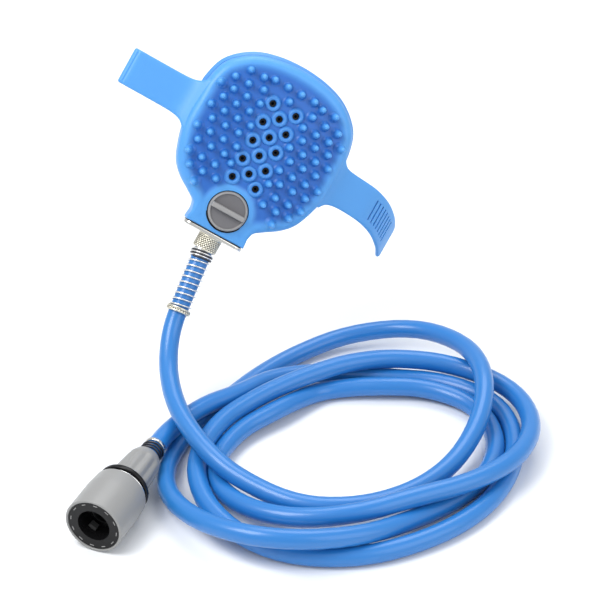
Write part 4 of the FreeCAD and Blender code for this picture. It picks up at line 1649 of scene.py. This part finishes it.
LAMPS = (
    Lamp("key", (-0.7, -0.5, 1.1), 14.0, 0.7),
    Lamp("fill", (1.1, -0.9, 0.7), 6.5, 1.1),
    Lamp("top", (0.2, 0.7, 1.3), 10.0, 1.0),
)
LIT_PLACE = Vector((0.02, -0.04, -0.04))
SKY_COLOUR = (0.95, 0.97, 1.0, 1.0)
SKY_STRENGTH = 0.75


def make_lights() -> None:
    """Plain soft studio light."""
    for lamp in LAMPS:
        light = bpy.data.lights.new(lamp.name, "AREA")
        light.energy = lamp.power
        light.size = lamp.size
        holder = bpy.data.objects.new(lamp.name, light)
        holder.location = lamp.place
        holder.rotation_euler = (LIT_PLACE - holder.location).to_track_quat("-Z", "Y").to_euler()
        bpy.context.scene.collection.objects.link(holder)
    world = bpy.data.worlds.new("studio")
    world.use_nodes = True
    background = world.node_tree.nodes["Background"]
    background.inputs["Color"].default_value = SKY_COLOUR
    background.inputs["Strength"].default_value = SKY_STRENGTH
    bpy.context.scene.world = world
    bpy.context.scene.view_settings.view_transform = "Standard"


CAMERA_LENS = 132
CAMERA_SENSOR = 36
CAMERA_REACH = 20
CAMERA_PLACE = (0.027, -1.229, 0.669)
CAMERA_TILT = 57.5


def make_camera() -> None:
    """The camera: a long lens, looking down on the sprayer from the front."""
    camera = bpy.data.cameras.new("camera")
    camera.lens = CAMERA_LENS
    camera.sensor_width = CAMERA_SENSOR
    camera.clip_end = CAMERA_REACH
    holder = bpy.data.objects.new("camera", camera)
    holder.location = CAMERA_PLACE
    holder.rotation_euler = (math.radians(CAMERA_TILT), 0, 0)
    bpy.context.scene.collection.objects.link(holder)
    bpy.context.scene.camera = holder


LEFT_PATH = ((-43, -19, 1.2), (-48, -19, 0.6), (-54, -19, -2.6), (-60, -19, -4.4), (-68, -19, -5),
             (-80, -19, -5), (-90, -19, -5), (-95, -19, -5.2), (-97.6, -19, -7.2), (-95.6, -19, -9.7),
             (-92, -19, -10.1), (-87, -19, -10.0))
RIGHT_PATH = ((43, -20, 1.2), (48, -20.4, 0.6), (55, -21, -3.4), (66, -21.3, -7), (80, -22.5, -12),
              (92, -26, -20), (102, -32, -31), (108, -38, -42))
FOLD_LINE = 54.2
SLOT_START = 44.0
SLOT_PITCH = 3.6
SLOTS = 8


def main() -> None:
    """Builds the looks piece by piece."""
    logging.basicConfig(level=logging.INFO)
    make_camera()
    paint_cad_nodes()
    hose = Hose(ROUTE)
    riders = hose.relief() + Connector().build()
    hose.build(riders)
    head = Head(HeadSizes())
    head.face()
    head.back()
    head.button()
    head.neck()
    pressed_spring("button_spring", HEAD)
    Strap("strap_left", -1, LEFT_PATH, creases=[FOLD_LINE]).build()
    Strap("strap_right", 1, RIGHT_PATH, [SLOT_START + SLOT_PITCH * index for index in range(SLOTS)]).build()
    make_floor()
    make_lights()


if __name__ == "__main__":
    main()
